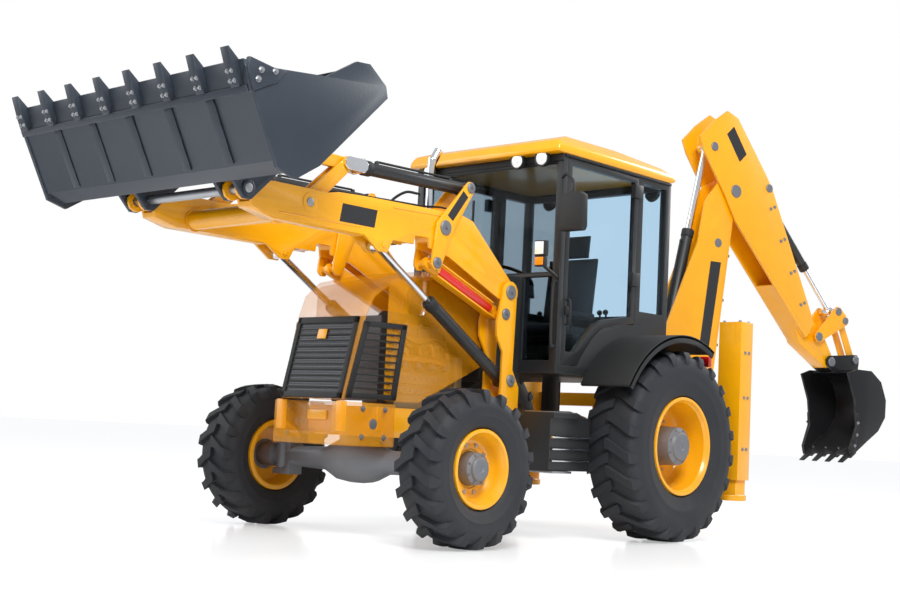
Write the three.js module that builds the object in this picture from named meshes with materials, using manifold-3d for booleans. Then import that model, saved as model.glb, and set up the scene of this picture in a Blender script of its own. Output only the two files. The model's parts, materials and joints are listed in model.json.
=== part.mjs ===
// Centre-pivot backhoe loader with a front shovel and a slewing digging arm.
// Millimetres, +Z up. The machine faces -Y and its left side is +X.
// Side views are drawn as [y, z] points, with y = 0 on the rear axle, and are extruded along X.
import * as THREE from "three";
import { mergeVertices } from "three/addons/utils/BufferGeometryUtils.js";
import Module from "manifold-3d";

const wasm = await Module();
wasm.setup();
const { Manifold, Mesh: ManifoldMesh } = wasm;

// ---------------------------------------------------------------- driving sizes
const WHEELBASE = 2170;
const REAR_TYRE = { radius: 700, width: 440, x: 960, rim: 360 };
const FRONT_TYRE = { radius: 500, width: 340, x: 975, rim: 250 };
const WHEEL_SIDES = 24;
const KINGPIN_X = 755;

const PIN_GAP = 0.4; // radial running clearance at a pin
const ROD_GAP = 0.6; // radial clearance of a rod in its barrel
const SEAT_GAP = 0.3; // between neighbouring pieces that are bolted together

const ARM = { inner: 412, outer: 542, plate: 18 }; // loader arm, across X
const ARM_PIVOT = [-1338, 1707];
const LEVEL_PIVOT = [-1381, 1551]; // levelling link's foot on the tower
const LEVER_PIVOT = [-2031, 2064];
const LEVER_DROP = [-64, -242]; // from the lever's pivot to its lower pin
const RAM_HORN = [-1800, 2368];
const TIP_PIVOT = [-3205, 2056];
const TIP_OFFSET = [321, 296]; // tipping lever, and hinge to link pin on the bucket
const BUCKET_HINGE = [-3706, 2059];
const LIFT_LUG = [-2574, 1880];
const LIFT_BASE = [-1300, 1095];
const BUCKET_HALF = 1145;

const SLEW_Y = 1360;
const SLEW_REST = -16; // degrees about Z from straight back
const BOOM_FOOT = [350, 900]; // [s, z], s runs back from the slew axis
const BOOM_RAM_BASE = [120, 1180];
const BOOM_RAM_TOP = [520, 2500];
const DIPPER_PIVOT = [688, 2981];
const DIPPER_RAM_BASE = [40, 1600];
const DIPPER_TAIL = [420, 3347];
const CROWD_RAM_BASE = [1087, 3061];
const CRANK_PIVOT = [1764, 1765];
const CRANK_TOP = [2007, 2019];
const CRANK_LINK_TOP = [2101, 1939];
const CRANK_LINK_FOOT = [2265, 1583];
const DIG_HINGE = [1954, 1545];
const DIG_HALF = 300;

const CAB = { half: 720, front: -1000, rear: 360, floor: 1200, top: 2740, pillar: 60 };
const DOOR = { front: -943, rear: -77, low: 1235, thick: 40, gap: 4 };
const RAIL = { inner: 250, outer: 330, low: 700, high: 860, front: -2340, rear: 860 };

const add2 = (p, q) => [p[0] + q[0], p[1] + q[1]];
const LEVER_FOOT = add2(LEVER_PIVOT, LEVER_DROP);
const TIP_TOP = add2(TIP_PIVOT, TIP_OFFSET);
const LINK_PIN = add2(BUCKET_HINGE, TIP_OFFSET);

// ---------------------------------------------------------------- finishes
const paint = (color, roughness = 0.45, metalness = 0.1) => ({ color, roughness, metalness });
const YELLOW = paint(0xf2a500);
const BLACK = paint(0x16181b, 0.6);
const BUCKET = paint(0x2b323c, 0.5, 0.4);
const RUBBER = paint(0x1c2026, 0.9, 0);
const STEEL = paint(0xc8ccd0, 0.2, 0.9);
const CAST = paint(0x8d9196, 0.6, 0.5);
const SEAT = paint(0x2a2c30, 0.9, 0);

// ---------------------------------------------------------------- solid helpers
function solid(geometry) {
  const bare = geometry.index ? geometry.toNonIndexed() : geometry.clone();
  bare.deleteAttribute("normal");
  bare.deleteAttribute("uv");
  const merged = mergeVertices(bare, 1e-3);
  return new Manifold(
    new ManifoldMesh({
      numProp: 3,
      vertProperties: new Float32Array(merged.attributes.position.array),
      triVerts: new Uint32Array(merged.index.array),
    }),
  );
}

const union = (...parts) => parts.flat().reduce((a, b) => a.add(b));
const cut = (body, ...tools) => tools.flat().reduce((a, b) => a.subtract(b), body);

// Outline in [a, b] extruded from low to high along the third axis.
const PLANES = {
  X: new THREE.Matrix4().set(0, 0, 1, 0, 1, 0, 0, 0, 0, 1, 0, 0, 0, 0, 0, 1), // [y, z] along X
  Y: new THREE.Matrix4().set(1, 0, 0, 0, 0, 0, -1, 0, 0, 1, 0, 0, 0, 0, 0, 1), // [x, z] along -Y
  Z: new THREE.Matrix4(), // [x, y] along Z
};
function prism(outline, low, high, axis = "X") {
  const shape = new THREE.Shape(outline.map(([a, b]) => new THREE.Vector2(a, b)));
  const geometry = new THREE.ExtrudeGeometry(shape, { depth: high - low, bevelEnabled: false });
  const sweep = axis === "Y" ? -high : low;
  geometry.translate(0, 0, sweep);
  geometry.applyMatrix4(PLANES[axis]);
  return solid(geometry);
}

const box = (x0, x1, y0, y1, z0, z1) =>
  solid(
    new THREE.BoxGeometry(x1 - x0, y1 - y0, z1 - z0).translate(
      (x0 + x1) / 2,
      (y0 + y1) / 2,
      (z0 + z1) / 2,
    ),
  );

function circle([a, b], radius, sides = 12, phase = 0.5) {
  const turn = (2 * Math.PI) / sides;
  return Array.from({ length: sides }, (_, i) => [
    a + radius * Math.cos(turn * (i + phase)),
    b + radius * Math.sin(turn * (i + phase)),
  ]);
}

// Convex outline round a set of circles [centre, radius].
function hull(...discs) {
  const points = discs.flatMap(([centre, radius, sides]) =>
    radius ? circle(centre, radius, sides ?? 8) : [centre],
  );
  points.sort((p, q) => p[0] - q[0] || p[1] - q[1]);
  const cross = (o, p, q) => (p[0] - o[0]) * (q[1] - o[1]) - (p[1] - o[1]) * (q[0] - o[0]);
  const half = (list) => {
    const chain = [];
    for (const p of list) {
      while (chain.length > 1 && cross(chain.at(-2), chain.at(-1), p) <= 1e-9) chain.pop();
      chain.push(p);
    }
    chain.pop();
    return chain;
  };
  return [...half(points), ...half([...points].reverse())];
}

const pin = (centre, radius, x0, x1, sides = 10) => prism(circle(centre, radius, sides), x0, x1);

// Hole that a pin of the given radius turns in: its flats face the pin's corners.
function pinHole(centre, radius, x0, x1, sides = 10) {
  const reach = (radius + PIN_GAP) / Math.cos(Math.PI / sides);
  return prism(circle(centre, reach, sides, 0), x0, x1);
}

// Round bar from p to q, each [x, y, z].
function bar(p, q, radius, sides = 10, topRadius = radius) {
  const from = new THREE.Vector3(...p);
  const to = new THREE.Vector3(...q);
  const along = to.clone().sub(from);
  const geometry = new THREE.CylinderGeometry(topRadius, radius, along.length(), sides);
  geometry.translate(0, along.length() / 2, 0);
  const turn = new THREE.Quaternion().setFromUnitVectors(
    new THREE.Vector3(0, 1, 0),
    along.clone().normalize(),
  );
  geometry.applyQuaternion(turn);
  geometry.translate(from.x, from.y, from.z);
  return solid(geometry);
}

// Turned solid on an axis along X: profile of [x, radius], closed or ending on the axis.
function turned(profile, [y, z], sides) {
  const geometry = new THREE.LatheGeometry(
    profile.map(([x, r]) => new THREE.Vector2(r, x)),
    sides,
  );
  geometry.rotateZ(-Math.PI / 2);
  geometry.translate(0, y, z);
  const body = solid(geometry);
  return body.volume() < 0 ? turned([...profile].reverse(), [y, z], sides) : body;
}

const mirrored = (body) => body.mirror([1, 0, 0]);
const both = (body) => union(body, mirrored(body));

// A point a given way from p towards q, offset square to the line.
function along(p, q, distance, offset = 0) {
  const length = Math.hypot(q[0] - p[0], q[1] - p[1]);
  const u = [(q[0] - p[0]) / length, (q[1] - p[1]) / length];
  return [p[0] + u[0] * distance - u[1] * offset, p[1] + u[1] * distance + u[0] * offset];
}
const distance = (p, q) => Math.hypot(q[0] - p[0], q[1] - p[1]);

// Strip with square ends along the line p to q.
const strip = (p, q, from, to, low, high) => [
  along(p, q, from, low),
  along(p, q, to, low),
  along(p, q, to, high),
  along(p, q, from, high),
];

const pieces = [];
function piece(name, body, finish) {
  pieces.push({ name, body: body.simplify(0.05), finish });
}
function pair(name, body, finish) {
  piece(`${name}_left`, body, finish);
  piece(`${name}_right`, mirrored(body), finish);
}
const slewed = (body) => body.rotate([0, 0, SLEW_REST]).translate([0, SLEW_Y, 0]);

// ---------------------------------------------------------------- hydraulic rams
// Barrel and rod in the plane x = middle, from base pin to rod pin at rest.
function ram({ base, top, middle, bore, rod, reach, inner, eye, half, basePin }) {
  const span = distance(base, top);
  const to3 = (p) => [middle, p[0], p[1]];
  const gland = along(base, top, reach);
  const barrel = cut(
    union(
      bar(to3(along(base, top, eye * 0.7)), to3(gland), bore),
      pin(base, eye, middle - half, middle + half),
    ),
    pinHole(base, basePin, middle - half - 1, middle + half + 1),
    bar(to3(along(base, top, eye + 60)), to3(along(base, top, reach + 1)), rod + ROD_GAP),
  );
  const shaft = bar(
    to3(along(base, top, inner)),
    to3(along(base, top, span - eye * 0.6)),
    rod,
  );
  const rodBody = union(shaft, pin(top, eye, middle - half, middle + half));
  return { barrel, rodBody };
}

// ---------------------------------------------------------------- chassis
function chassis() {
  const rail = box(RAIL.inner, RAIL.outer, RAIL.front, RAIL.rear, RAIL.low, RAIL.high);
  const cross = [
    box(-RAIL.outer, RAIL.outer, RAIL.front, RAIL.front + 90, RAIL.low, RAIL.high),
    box(-RAIL.outer, RAIL.outer, -560, -480, RAIL.low, RAIL.low + 60),
    box(-RAIL.outer, RAIL.outer, RAIL.rear - 80, RAIL.rear, RAIL.low, RAIL.high),
  ];
  const outerFace = [
    [-1268, 1690],
    [-1282, 1171],
    [-1208, 1050],
    [-1208, 880],
    [-1400, 880],
    [-1392, 1040],
    [-1392, 1290],
    [-1462, 1400],
    [-1462, 1500],
    [-1412, 1720],
  ];
  const head = circle(ARM_PIVOT, 78);
  const plates = [
    [546, 566],
    [388, 408],
  ].map(([a, b]) => union(prism(outerFace, a, b), prism(head, a, b)));
  const tower = union(
    plates,
    pin(ARM_PIVOT, 35, 388, 566),
    pin(LEVEL_PIVOT, 28, 388, 566),
    pin(LIFT_BASE, 30, 388, 566),
    box(388, 566, -1240, -1216, 880, 1040),
    box(RAIL.outer - 20, 566, -1400, -1208, 860, 960),
    box(RAIL.inner, RAIL.outer + 20, -1400, -1208, 800, 960),
  );
  const saddle = box(RAIL.inner - 10, RAIL.outer + 10, -98 - SEAT_GAP, 98 + SEAT_GAP, 690, 798 + SEAT_GAP);
  return cut(union(rail, mirrored(rail), cross, tower, mirrored(tower)), saddle, mirrored(saddle));
}

function axleMount() {
  return box(-RAIL.outer, RAIL.outer, -WHEELBASE - 110, -WHEELBASE + 110, 664, RAIL.low + 20);
}

function frontAxle() {
  const centre = [-WHEELBASE, FRONT_TYRE.radius];
  const y = -WHEELBASE;
  const beam = turned(
    [[-660, 0], [-660, 70], [-300, 80], [-150, 140], [-60, 150], [60, 150], [150, 140], [300, 80], [660,
        70], [660, 0]],
    centre,
    16,
  );
  const yoke = union(
    box(KINGPIN_X - 120, KINGPIN_X - 70, y - 60, y + 60, 370, 630),
    box(KINGPIN_X - 120, KINGPIN_X + 55, y - 60, y + 60, 590, 630),
    box(KINGPIN_X - 120, KINGPIN_X + 55, y - 60, y + 60, 370, 410),
  );
  const trunnion = box(-90, 90, y - 100, y + 100, 560, 664 - SEAT_GAP);
  return union(beam, both(yoke), trunnion);
}

function knuckle() {
  const y = -WHEELBASE;
  const centre = [y, FRONT_TYRE.radius];
  return union(
    bar([KINGPIN_X, y, 410 + SEAT_GAP], [KINGPIN_X, y, 590 - SEAT_GAP], 62, 14),
    turned([[770, 0], [770, 56], [823, 56], [823, 84], [977, 84], [977, 50], [1050, 50], [1050, 0]],
        centre, 16),
  );
}

function rearAxle() {
  const centre = [0, REAR_TYRE.radius];
  return turned(
    [
      [-960, 0], [-960, 60], [-867, 60], [-867, 150], [-790, 150], [-790, 98], [-245, 98], [-200, 200],
          [-90, 228],
      [90, 228], [200, 200], [245, 98], [790, 98], [790, 150], [867, 150], [867, 60], [960, 60], [960, 0],
    ],
    centre,
    16,
  );
}

// Tyre ring with lugs left to the finish; rim with its dish and hub.
function tyre({ radius, width, x, rim }, centre) {
  const h = width / 2;
  const profile = [
    [x - h + 36, rim], [x - h, radius - 110], [x - h + 50, radius],
    [x + h - 50, radius], [x + h, radius - 110], [x + h - 36, rim], [x - h + 36, rim],
  ];
  return turned(profile, centre, WHEEL_SIDES);
}
function wheelRim({ width, x, rim }, centre, dish, hub, face, bore) {
  const h = width / 2;
  const edge = rim - SEAT_GAP;
  const low = x - h + 30;
  const high = x + h - 30;
  return turned(
    [
      [bore.end, 0], [bore.end, bore.radius], [dish - 12, bore.radius], [dish - 12, rim - 40], [low,
          rim - 30], [low, edge],
      [high, edge], [high, rim - 30], [dish + 12, rim - 40], [dish + 12, hub], [face, hub], [face, 0],
    ],
    centre,
    WHEEL_SIDES,
  );
}

// ---------------------------------------------------------------- body
function frontWeight() {
  const block = prism(
    [[-360, -2200], [-360, -2600], [-330, -2650], [330, -2650], [360, -2600], [360, -2200],
        [RAIL.outer + SEAT_GAP, -2200],
      [RAIL.outer + SEAT_GAP, -2340 - SEAT_GAP], [-RAIL.outer - SEAT_GAP, -2340 - SEAT_GAP],
          [-RAIL.outer - SEAT_GAP, -2200]],
    600,
    880,
    "Z",
  );
  return cut(block, box(-230, 230, -2700, -2560, 680, 900));
}

function powertrain() {
  return union(
    box(-230, 230, -2240, -1480, 880, 1500),
    box(-150, 150, -2020, -1480, 650, 900),
    box(-200, 200, -1490, -560, 640, 1080),
    box(-120, 120, -570, -236, 600, 690),
    exhaust(),
  );
}

const HOOD_TOP = [[-2630, 890], [-2500, 1440], [-2440, 1590], [-2300, 1700], [-1900, 1800], [-1400, 1845]];
function hood() {
  const t = 25;
  const outer = prism([...HOOD_TOP, [-1400, 1180], [-2000, 900]], -375, 375);
  const inner = prism(
    [[-2590, 860], [-2474, 1440], [-2415, 1572], [-2290, 1672], [-1895, 1773], [-1350, 1818], [-1350,
        1100], [-2000, 860]],
    -375 + t,
    375 - t,
  );
  const bevel = prism([[290, -2700], [400, -2700], [400, -2150], [376, -2150]], 800, 1900, "Z");
  return cut(outer, inner, bevel, mirrored(bevel));
}

const HOOD_REAR = -1400 + SEAT_GAP;
function scuttle() {
  return cut(
    prism([[HOOD_REAR, 1100], [HOOD_REAR, 1843], [-1060, 1860], [CAB.front, 1860], [CAB.front, 1100]],
        -375, 375),
    prism([[-1410, 1000], [-1410, 1818], [-1040, 1835], [-1040, 1000]], -350, 350),
    bar([-290, -1310, 1700], [-290, -1310, 1900], 42, 16),
  );
}

function fuelTanks() {
  const tank = box(540, 850, -1190, -742, 490, 860);
  const step = box(600, 880, -1190, -900, 850, 890);
  const strap = box(330 + SEAT_GAP, 545, -1000, -900, 700, 850);
  const under = box(-560, 560, -1000, -900, 570, 630);
  return union(both(union(tank, step, strap)), under);
}

function cabFrame() {
  const p = CAB.pillar;
  const h = CAB.half;
  const shell = box(-h, h, CAB.front, CAB.rear, CAB.floor - 30, CAB.top);
  const hollow = box(-h + p, h - p, CAB.front + p, CAB.rear - p, CAB.floor, CAB.top + 1);
  const windscreen = box(-h + p, h - p, CAB.front - 1, CAB.front + p + 1, 1880, CAB.top - 60);
  const lights = [-1, 1].map((side) =>
    box(side > 0 ? 400 : -h + p, side > 0 ? h - p : -400, CAB.front - 1, CAB.front + p + 1, 1260, 1860),
  );
  const rearWindow = box(-h + p, h - p, CAB.rear - p - 1, CAB.rear + 1, 1700, CAB.top - 60);
  const doorHole = prism(
    [[DOOR.front - DOOR.gap, DOOR.low - DOOR.gap], [-758, DOOR.low - DOOR.gap], [-647, 1380], [-558,
        1470], [-470, 1529], [DOOR.rear + DOOR.gap, 1594],
      [DOOR.rear + DOOR.gap, 2720], [DOOR.front - DOOR.gap, 2720]],
    h - p - 1,
    h + 1,
  );
  const quarter = box(h - p - 1, h + 1, -10, CAB.rear - p, 1700, CAB.top - 60);
  const wall = cut(shell, hollow, windscreen, lights, rearWindow, doorHole, mirrored(doorHole), quarter,
      mirrored(quarter));
  const mounts = both(box(RAIL.inner, RAIL.outer, -560, -460, RAIL.high + SEAT_GAP, CAB.floor - 29));
  const mounts2 = both(box(RAIL.inner, RAIL.outer, 200, 300, RAIL.high + SEAT_GAP, CAB.floor - 29));
  const firewall = box(-375, 375, CAB.front, CAB.front + 20, 1100, 1200);
  return union(wall, scuttle(), mounts, mounts2, firewall);
}

function cabRoof() {
  const z = CAB.top + SEAT_GAP;
  const crown = prism(
    [[-1090, z + 20], [-1075, z], [330, z], [390, z + 15], [390, z + 50], [250, z + 110], [-300,
        z + 155], [-900, z + 150], [-1060, z + 95]],
    -740,
    740,
  );
  const trim = prism([[740, z + 60], [741, z + 60], [741, z + 200], [600, z + 200]], -1200, 500, "Y");
  return cut(crown, trim, mirrored(trim));
}

function door() {
  const outline = [
    [DOOR.front, DOOR.low], [-762, DOOR.low], [-651, 1385], [-560, 1475], [-471, 1534], [DOOR.rear,
        1600], [DOOR.rear, 2716], [DOOR.front, 2716],
  ];
  const h = CAB.half;
  const glass = [
    [DOOR.front + 45, 1330], [-800, 1330], [-690, 1440], [-580, 1540], [-480, 1590], [DOOR.rear - 45,
        1650], [DOOR.rear - 45, 2672], [DOOR.front + 45, 2672],
  ];
  const hinges = [1930, 2600].map((z) =>
    union(
      box(h - 1, h + 40, DOOR.rear - 90, DOOR.rear - 2, z - 50, z + 50),
      box(h + SEAT_GAP, h + 40, DOOR.rear - 10, DOOR.rear + 7, z - 50, z + 50),
    ),
  );
  return union(cut(prism(outline, h - DOOR.thick, h), prism(glass, h - 60, h + 10)), hinges);
}

function fender() {
  const centre = [0, REAR_TYRE.radius];
  const arc = (r, from, to, n) =>
    Array.from({ length: n + 1 }, (_, i) => {
      const a = ((from + ((to - from) * i) / n) * Math.PI) / 180;
      return [centre[0] + r * Math.cos(a), centre[1] + r * Math.sin(a)];
    });
  const skin = prism([...arc(815, 62, 150, 10), ...arc(787, 150, 62, 10)], CAB.half + SEAT_GAP, 1150);
  const wall = prism([...arc(815, 62, 150, 10), [-640, 1180], [300, 1180]], CAB.half + SEAT_GAP,
      CAB.half + 12);
  return union(skin, wall);
}

function cabInterior() {
  const floor = CAB.floor + SEAT_GAP;
  return union(
    box(-640, 640, -900, 280, floor, floor + 30),
    box(-180, 180, -420, 20, floor, 1480),
    box(-250, 250, -480, 40, 1480, 1600),
    prism([[-30, 1560], [60, 1560], [170, 2180], [90, 2200]], -240, 240),
    bar([0, -800, floor + 20], [0, -720, 1900], 55, 10),
    bar([0, -724, 1850], [0, -720, 1885], 190, 20),
  );
}

function exhaust() {
  return union(
    bar([-200, -1500, 1400], [-290, -1310, 1560], 34, 12),
    bar([-290, -1310, 1540], [-290, -1310, 2700], 36, 16),
    bar([-290, -1310, 2685], [-270, -1250, 2820], 35, 16),
  );
}

// ---------------------------------------------------------------- rear frame and stabilisers
function rearFrame() {
  const boxOuter = box(930, 1130, 790, 960, 460, 1690);
  const boxInner = box(948, 1112, 808, 942, 450, 1672);
  const legs = both(cut(boxOuter, boxInner));
  const beams = [
    box(-932, 932, RAIL.rear + SEAT_GAP, 985, 450, 560),
    box(-932, 932, RAIL.rear + SEAT_GAP, 985, 1000, 1110),
    both(box(240, 340, RAIL.rear + SEAT_GAP, 985, 550, 1010)),
    both(box(850, 932, RAIL.rear + SEAT_GAP, 960, 550, 1010)),
  ];
  const carriage = box(-300, 300, 980, 1060, 430, 1130);
  const ears = [
    [560, 612],
    [1038, 1090],
  ].map(([a, b]) => prism(hull([[0, SLEW_Y], 115, 16], [[-150, 1050], 0], [[150, 1050], 0]), a, b, "Z"));
  const slewPin = bar([0, SLEW_Y, 560], [0, SLEW_Y, 1090], 40, 16);
  return union(legs, beams, carriage, ears, slewPin);
}

function stabiliserLeg() {
  return union(
    box(948.5, 1111.5, 808.5, 941.5, 340, 1560),
    bar([1030, 875, 300], [1030, 875, 345], 115, 20),
  );
}

// ---------------------------------------------------------------- front loader
function loaderArms() {
  const outline = [
    [-3690, 2122], [-3500, 2136], [-3060, 2136], [-2980, 2153], [-2715, 2164], [-2082, 2175], [-1875,
        2182], [-1737, 2149], [-1300, 1772],
    [-1272, 1672], [-1390, 1636], [-1960, 1880], [-2150, 1916], [-2160, 1980], [-2292, 1980], [-2300,
        1921], [-2490, 1921],
    [-2535, 1834], [-2612, 1834], [-2746, 1923], [-3478, 1924], [-3645, 1966],
  ];
  const arm = union(
    prism(outline, ARM.inner, ARM.outer),
    prism(circle(BUCKET_HINGE, 66), ARM.inner, ARM.outer),
    prism(circle(ARM_PIVOT, 72), ARM.inner, ARM.outer),
  );
  const a = ARM.inner + ARM.plate;
  const b = ARM.outer - ARM.plate;
  const slots = [
    prism([[-3800, 1995], [-3060, 1995], [-3020, 2040], [-2720, 2095], [-2720, 2300], [-3800, 2300]], a,
        b), // tipping lever
    prism([[-2735, 1800], [-2415, 1800], [-2415, 2030], [-2735, 2030]], a, b), // lift ram eye
    prism([[-2340, 1800], [-1200, 1500], [-1150, 1900], [-1560, 1930], [-1760, 1955], [-2340, 1955]], a,
        b), // link
    prism([[-2730, 2095], [-2300, 2100], [-1700, 2120], [-1700, 2300], [-2730, 2300]], a, b),
        // lowered bucket ram
  ];
  const bores = [
    pinHole(ARM_PIVOT, 35, 400, 560), pinHole(LEVER_PIVOT, 32, 400, 560), pinHole(TIP_PIVOT, 28, 400,
        560), pinHole(BUCKET_HINGE, 30, 400, 560),
  ];
  const lugPin = pin(LIFT_LUG, 20, ARM.inner - 10, a - 0.5);
  const lugPin2 = pin(LIFT_LUG, 20, b + 0.5, ARM.outer + 10);
  const one = union(cut(arm, slots, bores), lugPin, lugPin2);
  const tube = pin([-3345, 1985], 62, -ARM.inner - 5, ARM.inner + 5, 20);
  return union(one, mirrored(one), tube);
}

function levellingLever() {
  const face = union(
    prism(hull([RAM_HORN, 44], [LEVER_PIVOT, 80]), 546, 564),
    prism(hull([LEVER_PIVOT, 80], [LEVER_FOOT, 50]), 546, 564),
  );
  const inside = face.translate([-156, 0, 0]);
  return union(
    face,
    inside,
    pin(LEVER_PIVOT, 32, 390, 564),
    pin(RAM_HORN, 26, 390, 564),
    pin(LEVER_FOOT, 26, 390, 460 - SEAT_GAP),
    pin(LEVER_FOOT, 26, 494 + SEAT_GAP, 564),
  );
}

function levellingLink() {
  const p = LEVER_FOOT;
  const q = LEVEL_PIVOT;
  const span = distance(p, q);
  const lug = prism(hull([p, 44], [q, 42]), 460, 494);
  const flanges = [
    prism(strip(p, q, 90, span - 90, 40, 50), 442, 512),
    prism(strip(p, q, 90, span - 90, -50, -40), 442, 512),
    prism(strip(p, q, 90, span - 90, -45, 45), 442, 452),
  ];
  const strut = bar([478, ...along(p, q, 80)], [478, ...along(p, q, span - 75)], 32);
  return cut(union(lug, flanges, strut), pinHole(q, 28, 440, 520));
}

function tippingLever() {
  const a = prism(hull([TIP_PIVOT, 55], [TIP_TOP, 46]), 440, 455);
  const b = a.translate([59, 0, 0]);
  return cut(
    union(a, b, pin(TIP_PIVOT, 55, 450, 504), pin(TIP_TOP, 24, 440, 514)),
    pinHole(TIP_PIVOT, 28, 430, 520),
  );
}

function tippingLink() {
  return cut(prism(hull([TIP_TOP, 42], [LINK_PIN, 42]), 459, 495), pinHole(TIP_TOP, 24, 450, 500),
      pinHole(LINK_PIN, 26, 450, 500));
}

// Shovel drawn with its floor level, hinge at the origin, [forward, up]; turned to its carried angle.
const SHOVEL_TILT = 63;
function shovelPoint([forward, up]) {
  const a = (SHOVEL_TILT * Math.PI) / 180;
  const p = forward * Math.cos(a) - up * Math.sin(a);
  const q = forward * Math.sin(a) + up * Math.cos(a);
  return [BUCKET_HINGE[0] - p, BUCKET_HINGE[1] + q];
}
function loaderBucket() {
  const inside = [[700, -205], [185, -205], [100, -130], [95, -20], [300, 640], [330, 672], [480, 655]];
  const outside = [[480, 672], [320, 692], [281, 650], [75, -15], [82, -142], [175, -225], [720, -225]];
  const shell = prism([...inside, ...outside].map(shovelPoint), -BUCKET_HALF + 20, BUCKET_HALF - 20);
  const side = prism(
    [[690, -235], [137, -235], [40, -130], [55, 60], [262, 715], [330, 730], [480, 655], [520, 560],
        [500, 300], [640, -60], [735, -190]].map(shovelPoint),
    BUCKET_HALF - 25,
    BUCKET_HALF,
  );
  const lip = prism([[735, -228], [560, -248], [560, -225], [720, -205]].map(shovelPoint),
      -BUCKET_HALF + 10, BUCKET_HALF - 10);
  const tooth = [[620, -205], [600, -270], [700, -274], [818, -262], [818, -254], [735,
      -215]].map(shovelPoint);
  const teeth = Array.from({ length: 8 }, (_, i) => prism(tooth, -1050 + 300 * i - 32,
      -1050 + 300 * i + 32));
  const bracket = prism(hull([BUCKET_HINGE, 70], [LINK_PIN, 56], [shovelPoint([110, -90]), 10],
      [shovelPoint([215, 400]), 10]), 548, 572);
  const brackets = union(bracket, bracket.translate([-166, 0, 0]));
  const shelled = cut(
    brackets,
    pinHole(BUCKET_HINGE, 30, 370, 590),
    pinHole(LINK_PIN, 26, 370, 590),
    prism([...inside, [900, 800], [900, -205]].map(shovelPoint), 300, 600),
  );
  return union(shell, side, mirrored(side), lip, teeth, shelled, mirrored(shelled));
}

// ---------------------------------------------------------------- digging arm, drawn in [s, z]
function kingpost() {
  const block = prism([[70, 640], [200, 640], [200, 1010], [70, 1010]], -130, 130);
  const cheek = prism(hull([[180, 780], 90], [BOOM_FOOT, 92]), 106, 130);
  const horn = union(
    prism([[80, 1150], [100, 1102], [124, 1098], [124, 900], [230, 900], [230, 1000], [164, 1180], [80,
        1190]], 58, 76),
    prism(circle(BOOM_RAM_BASE, 44), 58, 76),
  );
  return cut(
    union(
      bar([0, 0, 614], [0, 0, 1036], 100, 20),
      block,
      both(cheek),
      both(horn),
      pin(BOOM_FOOT, 40, -130, 130),
      pin(BOOM_RAM_BASE, 28, -76, 76),
    ),
    bar([0, 0, 600], [0, 0, 1100], (40 + PIN_GAP) / Math.cos(Math.PI / 16), 16),
  );
}

function boom() {
  const outline = [
    [610, 3090], [760, 3050], [790, 2930], [686, 2736], [517, 1402], [455, 1020], [440, 870], [350, 805],
        [262, 860], [240, 980], [120, 1480], [-36, 1640],
    [-26, 1743], [284, 2479], [358, 2855], [500, 3040],
  ];
  const plate = prism(outline, 80, 100);
  const webs = [
    prism([[688, 2740], [519, 1402], [499, 1402], [666, 2740]], -85, 85),
    pin(DIPPER_PIVOT, 66, -85, 85, 16),
    both(pin(BOOM_RAM_TOP, 28, 50 + SEAT_GAP, 100)),
    pin(DIPPER_RAM_BASE, 28, -100, 100),
    pin(BOOM_FOOT, 66, -85, 85, 16),
  ];
  return cut(union(both(plate), webs), pinHole(DIPPER_PIVOT, 40, -130, 130), pinHole(BOOM_FOOT, 40, -130,
      130));
}

function dipper() {
  const outline = [
    [251, 3417], [300, 3300], [560, 2930], [690, 2715], [1590, 1745], [1640, 1790], [1685, 1900], [1130,
        3050], [1050, 3170], [690, 3640], [560, 3690], [400, 3570],
  ];
  const plate = prism(outline, 106, 126);
  const web = prism(strip([690, 2715], [1590, 1745], 720, 1323, 0, 16), -108, 108);
  const back = prism(strip([1130, 3050], [1685, 1900], 520, 1270, -16, 0), -108, 108);
  const endWeb = prism([[1590, 1756], [1672, 1890], [1540, 2170], [1380, 1990]], -108, 108);
  const nose = prism([[1500, 1850], [1560, 1700], [1900, 1490], [2000, 1510], [2012, 1560], [1840, 1830],
      [1640, 1960]], -75, 75);
  return cut(
    union(
      both(plate), web, back, endWeb, nose,
      prism(hull([DIG_HINGE, 56]), -75, 75),
      pin(DIPPER_PIVOT, 40, -126, 126),
      both(pin(DIPPER_TAIL, 26, 50 + SEAT_GAP, 126)),
      pin(CROWD_RAM_BASE, 26, -126, 126),
    ),
    pinHole(DIG_HINGE, 30, -90, 90),
    pinHole(CRANK_PIVOT, 30, -90, 90),
  );
}

function bellCrank() {
  const plate = prism(hull([CRANK_PIVOT, 52], [CRANK_TOP, 48], [CRANK_LINK_TOP, 44]), 108, 124);
  return union(
    both(plate),
    pin(CRANK_PIVOT, 30, -124, 124),
    both(pin(CRANK_TOP, 26, 62, 124)),
    both(pin(CRANK_LINK_TOP, 26, 62, 124)),
  );
}

function crankLink() {
  const plate = prism(hull([CRANK_LINK_TOP, 34], [CRANK_LINK_FOOT, 38]), 44, 58);
  return cut(union(both(plate), pin(CRANK_LINK_FOOT, 42, -58, 58)), pinHole(CRANK_LINK_FOOT, 28, -80, 80));
}

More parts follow.
